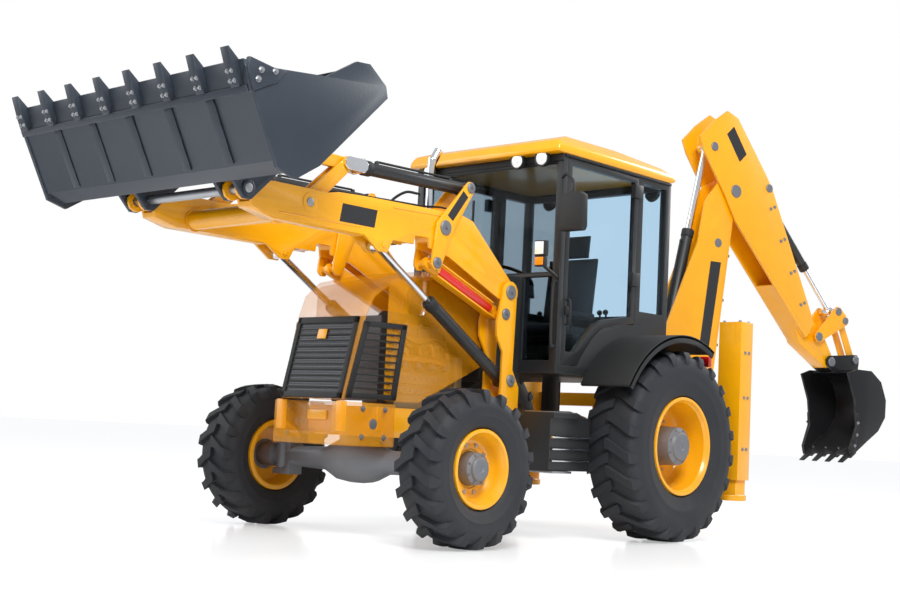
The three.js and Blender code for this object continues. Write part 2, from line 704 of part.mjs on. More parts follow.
function backhoeBucket() {
  const outer = [
    [2110, 1482], [2270, 1475], [2400, 1380], [2467, 1215], [2460, 1060], [2373, 930], [2230, 830],
        [2039, 690],
  ];
  const inner = [
    [2052, 712], [2222, 850], [2356, 942], [2436, 1066], [2442, 1212], [2380, 1366], [2262, 1450], [2110,
        1458],
  ];
  const shell = prism([...outer, ...inner], -DIG_HALF + 16, DIG_HALF - 16);
  const side = prism([[1965, 1440], [2080, 1482], [2272, 1478], [2403, 1382], [2471, 1216], [2464, 1056],
      [2376, 926], [2232, 826], [2030, 680], [2010, 760], [2090, 960], [2060, 1200]], DIG_HALF - 20,
      DIG_HALF);
  const ear = prism(hull([DIG_HINGE, 60], [CRANK_LINK_FOOT, 52], [[2010, 1462], 8], [[2290, 1460], 8]),
      80, 104);
  const tooth = hull([[2075, 716], 16], [[1952, 626], 5]);
  const teeth = [-240, -80, 80, 240].map((x) => prism(tooth, x - 28, x + 28));
  return union(shell, both(side), both(ear), teeth, pin(DIG_HINGE, 30, -104, 104), pin(CRANK_LINK_FOOT,
      28, -104, 104));
}

// ---------------------------------------------------------------- assembly
const frontHub = [-WHEELBASE, FRONT_TYRE.radius];
const rearHub = [0, REAR_TYRE.radius];

piece("chassis_frame", union(chassis(), axleMount()), YELLOW);
piece("front_axle", frontAxle(), CAST);
piece("rear_axle", rearAxle(), CAST);
piece("powertrain", powertrain(), CAST);
piece("front_weight", frontWeight(), YELLOW);
piece("hood", hood(), YELLOW);
piece("fuel_tanks", fuelTanks(), BLACK);
piece("cab_frame", cabFrame(), BLACK);
piece("cab_roof", cabRoof(), YELLOW);
piece("cab_interior", cabInterior(), SEAT);
pair("door", door(), BLACK);
pair("fender", fender(), BLACK);
piece("rear_frame", rearFrame(), YELLOW);
pair("stabiliser_leg", stabiliserLeg(), YELLOW);

pair("knuckle", knuckle(), CAST);
pair("front_tyre", tyre(FRONT_TYRE, frontHub), RUBBER);
pair("front_rim", wheelRim(FRONT_TYRE, frontHub, 990, 110, 1115, { radius: 51, end: 1052 }), YELLOW);
pair("rear_tyre", tyre(REAR_TYRE, rearHub), RUBBER);
pair("rear_rim", wheelRim(REAR_TYRE, rearHub, 880, 130, 1010, { radius: 61, end: 962 }), YELLOW);

piece("loader_arms", loaderArms(), YELLOW);
pair("levelling_lever", levellingLever(), YELLOW);
pair("levelling_link", levellingLink(), YELLOW);
const lift = ram({ base: LIFT_BASE, top: LIFT_LUG, middle: 477, bore: 42, rod: 24, reach: 910,
    inner: 525, eye: 44, half: 40, basePin: 30 });
pair("lift_barrel", lift.barrel, BLACK);
pair("lift_rod", lift.rodBody, STEEL);
const tip = ram({ base: RAM_HORN, top: TIP_TOP, middle: 477, bore: 44, rod: 26, reach: 940, inner: 110,
    eye: 44, half: 36, basePin: 26 });
pair("bucket_ram_barrel", tip.barrel, BLACK);
const clevis = union(
  prism(hull([TIP_TOP, 44], [along(TIP_TOP, RAM_HORN, 110), 44]), 420, 435),
  prism(hull([TIP_TOP, 44], [along(TIP_TOP, RAM_HORN, 110), 44]), 519, 534),
  prism(strip(TIP_TOP, RAM_HORN, 100, 130, -44, 44), 420, 534),
  bar([477, ...along(RAM_HORN, TIP_TOP, 110)], [477, ...along(RAM_HORN, TIP_TOP, distance(RAM_HORN,
      TIP_TOP) - 110)], 26),
);
pair("bucket_ram_rod", clevis, STEEL);
pair("tipping_lever", tippingLever(), YELLOW);
pair("tipping_link", tippingLink(), YELLOW);
piece("bucket_hinge_shaft", pin(BUCKET_HINGE, 30, -580, 580), STEEL);
piece("tipping_lever_shaft", pin(TIP_PIVOT, 28, -548, 548), STEEL);
piece("bucket_link_shaft", pin(LINK_PIN, 26, -580, 580), STEEL);
piece("loader_bucket", loaderBucket(), BUCKET);

piece("kingpost", slewed(kingpost()), YELLOW);
piece("boom", slewed(boom()), YELLOW);
piece("dipper", slewed(dipper()), YELLOW);
const boomRam = ram({ base: BOOM_RAM_BASE, top: BOOM_RAM_TOP, middle: 0, bore: 50, rod: 30, reach: 1000,
    inner: 300, eye: 50, half: 50, basePin: 28 });
piece("boom_ram_barrel", slewed(boomRam.barrel), BLACK);
piece("boom_ram_rod", slewed(boomRam.rodBody), STEEL);
const dipperRam = ram({ base: DIPPER_RAM_BASE, top: DIPPER_TAIL, middle: 0, bore: 50, rod: 28,
    reach: 1020, inner: 760, eye: 50, half: 50, basePin: 28 });
piece("dipper_ram_barrel", slewed(dipperRam.barrel), BLACK);
piece("dipper_ram_rod", slewed(dipperRam.rodBody), STEEL);
const crowdRam = ram({ base: CROWD_RAM_BASE, top: CRANK_TOP, middle: 0, bore: 42, rod: 24, reach: 900,
    inner: 500, eye: 44, half: 40, basePin: 26 });
piece("crowd_ram_barrel", slewed(crowdRam.barrel), BLACK);
piece("crowd_ram_rod", slewed(crowdRam.rodBody), STEEL);
piece("bell_crank", slewed(bellCrank()), YELLOW);
piece("crank_link", slewed(crankLink()), YELLOW);
piece("backhoe_bucket", slewed(backhoeBucket()), BUCKET);

const group = new THREE.Group();
group.name = "backhoe_loader";
const extent = new THREE.Box3();
for (const { body } of pieces) {
  const { min, max } = body.boundingBox();
  extent.expandByPoint(new THREE.Vector3(...min));
  extent.expandByPoint(new THREE.Vector3(...max));
}
const centre = extent.getCenter(new THREE.Vector3());
for (const { name, body, finish } of pieces) {
  const mesh = body.getMesh();
  const geometry = new THREE.BufferGeometry();
  geometry.setAttribute("position", new THREE.BufferAttribute(new Float32Array(mesh.vertProperties), 3));
  geometry.setIndex(new THREE.BufferAttribute(new Uint32Array(mesh.triVerts), 1));
  geometry.translate(-centre.x, -centre.y, -extent.min.z);
  const flat = geometry.toNonIndexed();
  flat.computeVertexNormals();
  const item = new THREE.Mesh(flat, new THREE.MeshStandardMaterial({ ...finish, name: `${name}_finish` }));
  item.name = name;
  group.add(item);
}

export default group;
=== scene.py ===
"""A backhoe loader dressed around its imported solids: paint, glass, tyres, engine, hoses and light.

Sizes are in millimetres in the machine's drawing frame, whose Y zero is the rear axle.
"""

import json
import logging
import math
from collections.abc import Iterable, Sequence
from dataclasses import dataclass
from enum import Enum

import bmesh
import bpy
from mathutils import Matrix, Vector


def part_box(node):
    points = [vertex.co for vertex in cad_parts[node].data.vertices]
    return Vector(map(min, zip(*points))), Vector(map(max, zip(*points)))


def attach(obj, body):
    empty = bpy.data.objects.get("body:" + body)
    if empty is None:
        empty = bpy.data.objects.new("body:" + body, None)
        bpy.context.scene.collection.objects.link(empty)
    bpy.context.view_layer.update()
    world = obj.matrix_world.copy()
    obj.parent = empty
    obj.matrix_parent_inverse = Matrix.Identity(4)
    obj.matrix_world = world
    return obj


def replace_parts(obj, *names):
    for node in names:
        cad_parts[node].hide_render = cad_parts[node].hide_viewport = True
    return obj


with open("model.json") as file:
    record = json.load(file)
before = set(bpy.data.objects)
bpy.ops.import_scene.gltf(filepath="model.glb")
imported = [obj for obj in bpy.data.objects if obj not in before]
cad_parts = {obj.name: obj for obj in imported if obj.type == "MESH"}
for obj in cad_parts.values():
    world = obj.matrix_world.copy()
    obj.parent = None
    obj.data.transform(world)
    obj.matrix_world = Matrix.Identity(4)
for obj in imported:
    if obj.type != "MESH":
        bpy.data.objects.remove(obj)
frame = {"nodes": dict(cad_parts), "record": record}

logging.basicConfig(level=logging.INFO, format="%(message)s")
LOG = logging.getLogger("loader")

MM = 0.001
SIDES = (1, -1)
SMOOTH_ANGLE = math.radians(38)
COAT_ROUGHNESS = 0.08
DUSTY_ROUGHNESS = 0.95
GLASS_IOR = 1.12  # thin panes bend the view very little
JOINTS = {joint["name"]: joint for joint in frame["record"]["behaviour"]["joints"]}
REAR_AXLE_Y = JOINTS["rear_left_spin"]["pos_m"][1]
Point = Sequence[float]
Outline = Sequence[Sequence[float]]

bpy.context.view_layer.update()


class Axis(Enum):
    """The direction that an outline is thickened along."""

    X = 0
    Y = 1
    Z = 2


class Slot(Enum):
    """The record's material slots."""

    YELLOW = "yellow_paint"
    BLACK = "black_paint"
    BUCKET = "bucket_steel"
    RUBBER = "rubber"
    CHROME = "chrome"
    CAST = "cast_iron"
    SEAT = "seat_cloth"


# ------------------------------------------------------------------ finishes


@dataclass(frozen=True)
class Finish:
    """One surface finish.

    Attributes:
        name: The material's name.
        colour: Linear red, green and blue.
        roughness: Mean roughness.
        slot: The record slot that the finish belongs to; not used.
        metallic: Metal share.
        coat: Clear coat weight.
        wear: How much of the edges shows through, 0 to 1.
        worn: Colour under the worn edges.
        dust: How much dust lies on it, 0 to 1.
        grain: Depth of the fine surface grain, in metres.
        grain_scale: Grain density.
        alpha: Opacity of a see-through panel.
        transmission: Transmission weight of glass.
        glow: Emission strength.
    """

    name: str
    colour: tuple[float, float, float]
    roughness: float
    slot: Slot
    metallic: float = 0.0
    coat: float = 0.0
    wear: float = 0.0
    worn: tuple[float, float, float] = (0.32, 0.3, 0.28)
    dust: float = 0.0
    grain: float = 0.0
    grain_scale: float = 90.0
    alpha: float = 1.0
    transmission: float = 0.0
    glow: float = 0.0


YELLOW = Finish(
    "machine_yellow", (0.94, 0.41, 0.0), 0.3, Slot.YELLOW, coat=0.5, wear=0.25, dust=0.05, grain=0.0002
)
AMBER = Finish("clear_amber", (1.0, 0.42, 0.0), 0.25, Slot.YELLOW, coat=0.2, alpha=0.28)
AMBER_SOLID = Finish("cast_amber", (0.95, 0.42, 0.005), 0.28, Slot.YELLOW, coat=0.5, alpha=0.36)
BLACK = Finish(
    "satin_black", (0.016, 0.018, 0.02), 0.42, Slot.BLACK, wear=0.3, worn=(0.12, 0.12, 0.12), dust=0.04
)
TRIM = Finish(
    "moulded_black", (0.012, 0.013, 0.014), 0.62, Slot.BLACK, dust=0.03, grain=0.0004, grain_scale=160
)
MESH = Finish("grille_mesh_grey", (0.09, 0.095, 0.105), 0.42, Slot.BLACK, metallic=0.5)
DECAL = Finish("blank_decal", (0.014, 0.015, 0.018), 0.3, Slot.BLACK, coat=0.3)
BUCKET = Finish("shovel_blue_grey", (0.036, 0.046, 0.062), 0.4, Slot.BUCKET, metallic=0.35, wear=0.55,
                worn=(0.22, 0.24, 0.27), dust=0.05, grain=0.0005, grain_scale=60)
DARK_STEEL = Finish("digger_black_steel", (0.016, 0.017, 0.02), 0.36, Slot.BUCKET, metallic=0.4, wear=0.6,
                    worn=(0.2, 0.2, 0.21), dust=0.08, grain=0.0004)
RUBBER = Finish(
    "tyre_rubber", (0.012, 0.015, 0.021), 0.68, Slot.RUBBER, dust=0.07, grain=0.0005, grain_scale=140
)
HOSE = Finish("hose_rubber", (0.012, 0.012, 0.013), 0.5, Slot.RUBBER, dust=0.04)
CHROME = Finish("rod_chrome", (0.80, 0.82, 0.85), 0.1, Slot.CHROME, metallic=1.0)
STEEL = Finish("zinc_steel", (0.42, 0.43, 0.45), 0.32, Slot.CHROME, metallic=0.9, dust=0.05)
CAST = Finish(
    "axle_casting", (0.20, 0.21, 0.23), 0.5, Slot.CAST, metallic=0.5, wear=0.2, dust=0.1, grain=0.0012,
    grain_scale=45
)
# Engine alloy: a metal grey with real grain and dust, its base colour warmed towards amber as painted amber
# light, standing in for the light that the see-through amber hood tints
ALLOY_AMBER_LIT = Finish(
    "engine_alloy_amber_lit", (0.40, 0.31, 0.17), 0.42, Slot.CAST, metallic=0.6, dust=0.1, grain=0.0008,
    grain_scale=70
)
COPPER = Finish("oil_brass", (0.50, 0.28, 0.10), 0.35, Slot.CAST, metallic=0.8)
RED = Finish("strut_red", (0.62, 0.012, 0.01), 0.28, Slot.YELLOW, coat=0.5)
SEAT = Finish("seat_weave", (0.035, 0.037, 0.042), 0.9, Slot.SEAT, grain=0.0012, grain_scale=420)
WINDSCREEN = Finish("dark_glass", (0.30, 0.34, 0.37), 0.02, Slot.CHROME, transmission=1.0)
DOOR_GLASS = Finish("pale_glass", (0.66, 0.80, 0.90), 0.02, Slot.CHROME, transmission=1.0)
LENS = Finish("lamp_lens", (0.90, 0.93, 0.96), 0.08, Slot.CHROME, metallic=0.35, coat=0.6, glow=0.25)
AMBER_LENS = Finish("amber_lens", (0.95, 0.26, 0.01), 0.2, Slot.YELLOW, coat=0.6, glow=0.15)
RED_LENS = Finish("red_lens", (0.55, 0.01, 0.01), 0.2, Slot.YELLOW, coat=0.6)


class ShaderGroups:
    """Builds the node groups that several finishes share."""

    def __init__(self) -> None:
        """Makes each group once."""
        self.wear = self._edge_wear()
        self.dust = self._settled_dust()
        self.grain = self._grain()

    @staticmethod
    def _group(name: str, inputs: dict[str, float], output: str) -> tuple[bpy.types.NodeTree, dict]:
        """Starts a group with float inputs and one float output.

        Args:
            name: The group's name.
            inputs: Input names with their default values.
            output: The output's name.

        Returns:
            The node tree, and its input and output nodes.
        """
        tree = bpy.data.node_groups.new(name, "ShaderNodeTree")
        for label, value in inputs.items():
            socket = tree.interface.new_socket(label, in_out="INPUT", socket_type="NodeSocketFloat")
            socket.default_value = value
        tree.interface.new_socket(output, in_out="OUTPUT", socket_type="NodeSocketFloat")
        ends = {"in": tree.nodes.new("NodeGroupInput"), "out": tree.nodes.new("NodeGroupOutput")}
        return tree, ends

    @staticmethod
    def _maths(
        tree: bpy.types.NodeTree, operation: str, first: object, second: object = None
    ) -> bpy.types.NodeSocket:
        """Adds a Math node.

        Args:
            tree: The tree that it goes in.
            operation: The node's operation.
            first: A socket or a number.
            second: A socket or a number.

        Returns:
            The node's output socket.
        """
        node = tree.nodes.new("ShaderNodeMath")
        node.operation = operation
        node.use_clamp = True
        for index, value in enumerate((first, second)):
            if isinstance(value, bpy.types.NodeSocket):
                tree.links.new(value, node.inputs[index])
            elif value is not None:
                node.inputs[index].default_value = value
        return node.outputs[0]

    def _edge_wear(self) -> bpy.types.NodeTree:
        """Returns a group whose mask is 1 on rubbed edges."""
        tree, ends = self._group("edge_wear", {"Amount": 0.5, "Width": 0.008, "Scale": 14.0}, "Mask")
        bevel = tree.nodes.new("ShaderNodeBevel")
        bevel.samples = 4
        tree.links.new(ends["in"].outputs["Width"], bevel.inputs["Radius"])
        geometry = tree.nodes.new("ShaderNodeNewGeometry")
        dot = tree.nodes.new("ShaderNodeVectorMath")
        dot.operation = "DOT_PRODUCT"
        tree.links.new(bevel.outputs["Normal"], dot.inputs[0])
        tree.links.new(geometry.outputs["Normal"], dot.inputs[1])
        edge = self._maths(tree, "SUBTRACT", 1.0, dot.outputs["Value"])
        noise = self.noise(tree, ends["in"].outputs["Scale"])
        chipped = self._maths(tree, "MULTIPLY", edge, 5.0)
        spread = self._maths(tree, "SUBTRACT", noise, 0.42)
        spread = self._maths(tree, "MULTIPLY", spread, 7.0)
        mask = self._maths(tree, "MULTIPLY", chipped, spread)
        tree.links.new(
            self._maths(tree, "MULTIPLY", mask, ends["in"].outputs["Amount"]), ends["out"].inputs["Mask"]
        )
        return tree

    @staticmethod
    def noise(tree: bpy.types.NodeTree, scale: object, detail: float = 5.0) -> bpy.types.NodeSocket:
        """Returns the value of a noise over object coordinates."""
        place = tree.nodes.new("ShaderNodeTexCoord")
        noise = tree.nodes.new("ShaderNodeTexNoise")
        noise.inputs["Detail"].default_value = detail
        tree.links.new(place.outputs["Object"], noise.inputs["Vector"])
        if isinstance(scale, bpy.types.NodeSocket):
            tree.links.new(scale, noise.inputs["Scale"])
        else:
            noise.inputs["Scale"].default_value = scale
        return noise.outputs["Fac"]

    def _settled_dust(self) -> bpy.types.NodeTree:
        """Returns a group whose mask is 1 where dust lies, on upward faces and low down."""
        tree, ends = self._group("settled_dust", {"Amount": 0.2, "Height": 1.3}, "Mask")
        geometry = tree.nodes.new("ShaderNodeNewGeometry")
        normal = tree.nodes.new("ShaderNodeSeparateXYZ")
        tree.links.new(geometry.outputs["Normal"], normal.inputs[0])
        place = tree.nodes.new("ShaderNodeSeparateXYZ")
        tree.links.new(geometry.outputs["Position"], place.inputs[0])
        low = self._maths(tree, "DIVIDE", place.outputs["Z"], ends["in"].outputs["Height"])
        low = self._maths(tree, "SUBTRACT", 1.0, low)
        up = self._maths(tree, "MULTIPLY", normal.outputs["Z"], 0.5)
        patch = self._maths(tree, "SUBTRACT", self.noise(tree, 3.5), 0.25)
        lying = self._maths(tree, "ADD", low, up)
        mask = self._maths(tree, "MULTIPLY", lying, patch)
        mask = self._maths(tree, "MULTIPLY", mask, 2.0)
        tree.links.new(
            self._maths(tree, "MULTIPLY", mask, ends["in"].outputs["Amount"]), ends["out"].inputs["Mask"]
        )
        return tree

    def _grain(self) -> bpy.types.NodeTree:
        """Returns a group whose height is a fine cast or moulded grain."""
        tree, ends = self._group("fine_grain", {"Scale": 90.0}, "Height")
        noise = self.noise(tree, ends["in"].outputs["Scale"], 3.0)
        tree.links.new(noise, ends["out"].inputs["Height"])
        return tree


class Paintbox:
    """Makes one material per finish and keeps it."""

    DUST_COLOUR = (0.34, 0.30, 0.25, 1.0)

    def __init__(self) -> None:
        """Starts with no materials."""
        self.groups = ShaderGroups()
        self.made: dict[str, bpy.types.Material] = {}

    def material(self, finish: Finish) -> bpy.types.Material:
        """Returns the material of a finish, made on first use."""
        if finish.name not in self.made:
            self.made[finish.name] = self._build(finish)
        return self.made[finish.name]

    @staticmethod
    def _mix(
        tree: bpy.types.NodeTree, factor: object, first: object, second: object
    ) -> bpy.types.NodeSocket:
        """Adds a colour mix and returns its result."""
        mix = tree.nodes.new("ShaderNodeMix")
        mix.data_type = "RGBA"
        for index, value in ((0, factor), (6, first), (7, second)):
            if isinstance(value, bpy.types.NodeSocket):
                tree.links.new(value, mix.inputs[index])
            else:
                mix.inputs[index].default_value = value
        return mix.outputs[2]

    def _add_group(
        self, tree: bpy.types.NodeTree, group: bpy.types.NodeTree, **values: float
    ) -> bpy.types.NodeSocket:
        """Places a shared group in a material and returns its output."""
        node = tree.nodes.new("ShaderNodeGroup")
        node.node_tree = group
        for label, value in values.items():
            node.inputs[label].default_value = value
        return node.outputs[0]

    def _build(self, finish: Finish) -> bpy.types.Material:
        """Builds the material of one finish.

        Args:
            finish: What the surface is.

        Returns:
            The new material.
        """
        material = bpy.data.materials.new(finish.name)
        material.use_nodes = True
        tree = material.node_tree
        shader = tree.nodes["Principled BSDF"]
        shader.inputs["Base Color"].default_value = (*finish.colour, 1.0)
        shader.inputs["Roughness"].default_value = finish.roughness
        shader.inputs["Metallic"].default_value = finish.metallic
        shader.inputs["Coat Weight"].default_value = finish.coat
        shader.inputs["Coat Roughness"].default_value = COAT_ROUGHNESS
        if finish.glow:
            shader.inputs["Emission Color"].default_value = (*finish.colour, 1.0)
            shader.inputs["Emission Strength"].default_value = finish.glow
        if finish.transmission:
            shader.inputs["Transmission Weight"].default_value = finish.transmission
            shader.inputs["IOR"].default_value = GLASS_IOR
            return material
        if finish.alpha < 1:
            shader.inputs["Alpha"].default_value = finish.alpha
            return material
        colour = self._mix(
            tree,
            self.groups.noise(tree, 6.0, 2.0),
            (*(c * 0.9 for c in finish.colour), 1.0),
            (*(min(1.0, c * 1.08) for c in finish.colour), 1.0),
        )
        if finish.wear:
            mask = self._add_group(tree, self.groups.wear, Amount=finish.wear)
            colour = self._mix(tree, mask, colour, (*finish.worn, 1.0))
        if finish.dust:
            mask = self._add_group(tree, self.groups.dust, Amount=finish.dust)
            colour = self._mix(tree, mask, colour, self.DUST_COLOUR)
            rough = tree.nodes.new("ShaderNodeMapRange")
            rough.inputs["To Min"].default_value = finish.roughness
            rough.inputs["To Max"].default_value = DUSTY_ROUGHNESS
            tree.links.new(mask, rough.inputs["Value"])
            tree.links.new(rough.outputs[0], shader.inputs["Roughness"])
        tree.links.new(colour, shader.inputs["Base Color"])
        if finish.grain:
            bump = tree.nodes.new("ShaderNodeBump")
            bump.inputs["Distance"].default_value = finish.grain
            tree.links.new(
                self._add_group(tree, self.groups.grain, Scale=finish.grain_scale), bump.inputs["Height"]
            )
            tree.links.new(bump.outputs["Normal"], shader.inputs["Normal"])
        return material


PAINT = Paintbox()


# ------------------------------------------------------------------ shapes

DRAWING = Matrix.Translation((0, REAR_AXLE_Y, 0)) @ Matrix.Scale(MM, 4)
SLEW_AXIS_Y = 1360
SLEW_TURN = Matrix.Rotation(math.radians(-16), 4, "Z")
DIGGER = DRAWING @ Matrix.Translation((0, SLEW_AXIS_Y, 0)) @ SLEW_TURN
SHOVEL_TILT = math.radians(63)
SHOVEL_HINGE = (0.0, -3706.0, 2059.0)
_FORWARD = Vector((0, -math.cos(SHOVEL_TILT), math.sin(SHOVEL_TILT)))
_UP = Vector((0, math.sin(SHOVEL_TILT), math.cos(SHOVEL_TILT)))
SHOVEL = DRAWING @ Matrix.Translation(SHOVEL_HINGE) @ Matrix(
    ((1, 0, 0), _FORWARD, _UP)
).transposed().to_4x4()


def arc(centre: Point, radius: float, start: float, end: float, steps: int) -> list[tuple[float, float]]:
    """Returns points on a circle's stretch, with angles in degrees."""
    turn = [math.radians(start + (end - start) * i / steps) for i in range(steps + 1)]
    return [(centre[0] + radius * math.cos(a), centre[1] + radius * math.sin(a)) for a in turn]


def flow(points: Sequence[Point], steps: int = 8) -> list[Vector]:
    """Returns a smooth curve through the points.

    Args:
        points: Where the curve passes.
        steps: Steps between two points.

    Returns:
        The curve's points.
    """
    p = [Vector(q) for q in points]
    p = [p[0] * 2 - p[1], *p, p[-1] * 2 - p[-2]]
    out = []
    for a, b, c, d in zip(p, p[1:], p[2:], p[3:]):
        for i in range(steps):
            t = i / steps
            out.append(
                0.5 * (
                    2 * b + (c - a) * t + (
                        2 * a - 5 * b + 4 * c - d
                    ) * t * t + (3 * b - a - 3 * c + d) * t**3
                )
            )
    out.append(p[-2])
    return out


class Shape:
    """Gathers closed solids into one mesh, in drawing millimetres."""

    def __init__(self, place: Matrix = DRAWING) -> None:
        """Starts empty; place takes the drawing to the machine's frame."""
        self.mesh = bmesh.new()
        self.place = place

    def grid(self, rings: Sequence[Sequence[Vector]], closed: bool = False) -> None:
        """Skins rings of points, with caps where the run of rings is open."""
        verts = [[self.mesh.verts.new(p) for p in ring] for ring in rings]
        count = len(verts[0])
        pairs = list(zip(verts, verts[1:])) + ([(verts[-1], verts[0])] if closed else [])
        for low, high in pairs:
            for i in range(count):
                j = (i + 1) % count
                self.mesh.faces.new((low[i], low[j], high[j], high[i]))
        if not closed:
            self.mesh.faces.new(verts[0])
            self.mesh.faces.new(verts[-1])

    def box(self, low: Point, high: Point) -> "Shape":
        """Adds a box between two corners."""
        corners = [(low[0], low[1]), (high[0], low[1]), (high[0], high[1]), (low[0], high[1])]
        return self.slab(corners, low[2], high[2], Axis.Z)

    def both_boxes(self, low: Point, high: Point) -> "Shape":
        """Adds a box and its mirror image across the machine."""
        self.box(low, high)
        return self.box((-high[0], low[1], low[2]), (-low[0], high[1], high[2]))

    def slab(self, outline: Outline, low: float, high: float, axis: Axis = Axis.X) -> "Shape":
        """Adds an outline thickened from low to high.

        Args:
            outline: Points in the other two axes' order: (y, z), (x, z) or (x, y).
            low: Where it starts.
            high: Where it ends.
            axis: Which way it is thickened.

        Returns:
            The shape.
        """
        def place(a: float, b: float, c: float) -> Vector:
            return Vector({Axis.X: (c, a, b), Axis.Y: (a, c, b), Axis.Z: (a, b, c)}[axis])

        self.grid([[place(a, b, c) for a, b in outline] for c in (low, high)])
        return self

    def rod(
        self, start: Point, end: Point, radius: float, sides: int = 20, tip: float | None = None
    ) -> "Shape":
        """Adds a round bar, tapering to tip when it is given."""
        a, b = Vector(start), Vector(end)
        across = (b - a).orthogonal().normalized()
        over = (b - a).normalized().cross(across)
        rings = []
        for centre, r in ((a, radius), (b, radius if tip is None else tip)):
            turn = [math.tau * i / sides for i in range(sides)]
            rings.append([centre + (across * math.cos(t) + over * math.sin(t)) * r for t in turn])
        self.grid(rings)
        return self

    def turned(
        self, profile: Outline, start: Point, direction: Point, sides: int = 48, closed: bool = False
    ) -> "Shape":
        """Adds a turned solid.

        Args:
            profile: (along, radius) points, open at two ends or a closed loop.
            start: Where along is zero.
            direction: The turning axis.
            sides: Steps round it.
            closed: True for a ring whose profile closes on itself.

        Returns:
            The shape.
        """
        origin, axis = Vector(start), Vector(direction).normalized()
        across = axis.orthogonal().normalized()
        over = axis.cross(across)
        rings = []
        for along, r in profile:
            turn = [math.tau * (i + 0.5) / sides for i in range(sides)]
            rings.append(
                [origin + axis * along + (across * math.cos(t) + over * math.sin(t)) * r for t in turn]
            )
        self.grid(rings, closed)
        return self

    def tube(self, route: Sequence[Point], radius: float, sides: int = 10) -> "Shape":
        """Adds a tube along a route."""
        points = [Vector(p) for p in route]
        rings = []
        heading = (points[1] - points[0]).normalized()
        across = heading.orthogonal().normalized()
        for i, p in enumerate(points):
            ahead = points[min(i + 1, len(points) - 1)] - points[max(i - 1, 0)]
            heading = ahead.normalized()
            across = (across - heading * across.dot(heading)).normalized()
            over = heading.cross(across)
            turn = [math.tau * k / sides for k in range(sides)]
            rings.append([p + (across * math.cos(t) + over * math.sin(t)) * radius for t in turn])
        self.grid(rings)
        return self

    def ball(self, centre: Point, radius: float, squash: float = 1.0) -> "Shape":
        """Adds a sphere, flattened in height by squash."""
        matrix = Matrix.Translation(centre) @ Matrix.Diagonal((1, 1, squash, 1))
        bmesh.ops.create_uvsphere(self.mesh, u_segments=20, v_segments=12, radius=radius, matrix=matrix)
        return self

    def bolt(self, base: Point, direction: Point, size: float) -> "Shape":
        """Adds a washer and a hexagon head of that size across, standing on base."""
        a, d = Vector(base), Vector(direction).normalized()
        self.rod(a, a + d * size * 0.12, size * 0.72, 16)
        return self.rod(a + d * size * 0.1, a + d * size * 0.6, size * 0.5, 6)

    def make(self, name: str, finish: Finish, body: str, bevel: float = 0.0) -> bpy.types.Object:
        """Turns the gathered solids into a piece.

        Args:
            name: The piece's name.
            finish: Its surface.
            body: The CAD body that it rides on.
            bevel: Edge softening, in millimetres.

        Returns:
            The new object.
        """
        self.mesh.transform(self.place)
        bmesh.ops.recalc_face_normals(self.mesh, faces=self.mesh.faces[:])
        if bevel:
            soften(self.mesh, bevel * MM)
        return piece_from(self.mesh, name, finish, body)


def soften(mesh: bmesh.types.BMesh, width: float, segments: int = 2) -> None:
    """Bevels the sharp edges of a mesh by width, in metres."""
    sharp = [e for e in mesh.edges if len(e.link_faces) == 2 and e.calc_face_angle(0) > SMOOTH_ANGLE]
    bmesh.ops.bevel(
        mesh, geom=sharp, offset=width, segments=segments, profile=0.5, affect="EDGES", clamp_overlap=True
    )


def piece_from(mesh: bmesh.types.BMesh, name: str, finish: Finish, body: str) -> bpy.types.Object:
    """Makes an object of a mesh, dresses it and rides it on a body."""
    data = bpy.data.meshes.new(name)
    mesh.to_mesh(data)
    mesh.free()
    data.materials.append(PAINT.material(finish))
    data.polygons.foreach_set("use_smooth", [True] * len(data.polygons))
    data.set_sharp_from_angle(angle=SMOOTH_ANGLE)
    item = bpy.data.objects.new(name, data)
    bpy.context.scene.collection.objects.link(item)
    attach(item, body)
    LOG.info("%s on %s: %d faces", name, body, len(data.polygons))
    return item


def body_of(node: str) -> str:
    """Returns the name of the body that holds a CAD node."""
    bodies = frame["record"]["behaviour"]["bodies"]
    return next(body for body, members in bodies.items() if node in members)


def skin(node: str, finish: Finish, width: float = 4.0) -> bpy.types.Object:
    """Stands a copy of a CAD node with softened edges in its place.

    Args:
        node: The CAD node.
        finish: Its surface.
        width: Edge softening, in millimetres.

    Returns:
        The piece that stands for the node.
    """
    mesh = bmesh.new()
    mesh.from_mesh(frame["nodes"][node].data)
    bmesh.ops.remove_doubles(mesh, verts=mesh.verts[:], dist=0.00005)
    bmesh.ops.dissolve_limit(mesh, angle_limit=math.radians(0.6), verts=mesh.verts[:], edges=mesh.edges[:])
    soften(mesh, width * MM)
    item = piece_from(mesh, f"{node}_skin", finish, body_of(node))
    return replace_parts(item, node)


# ------------------------------------------------------------------ wheels


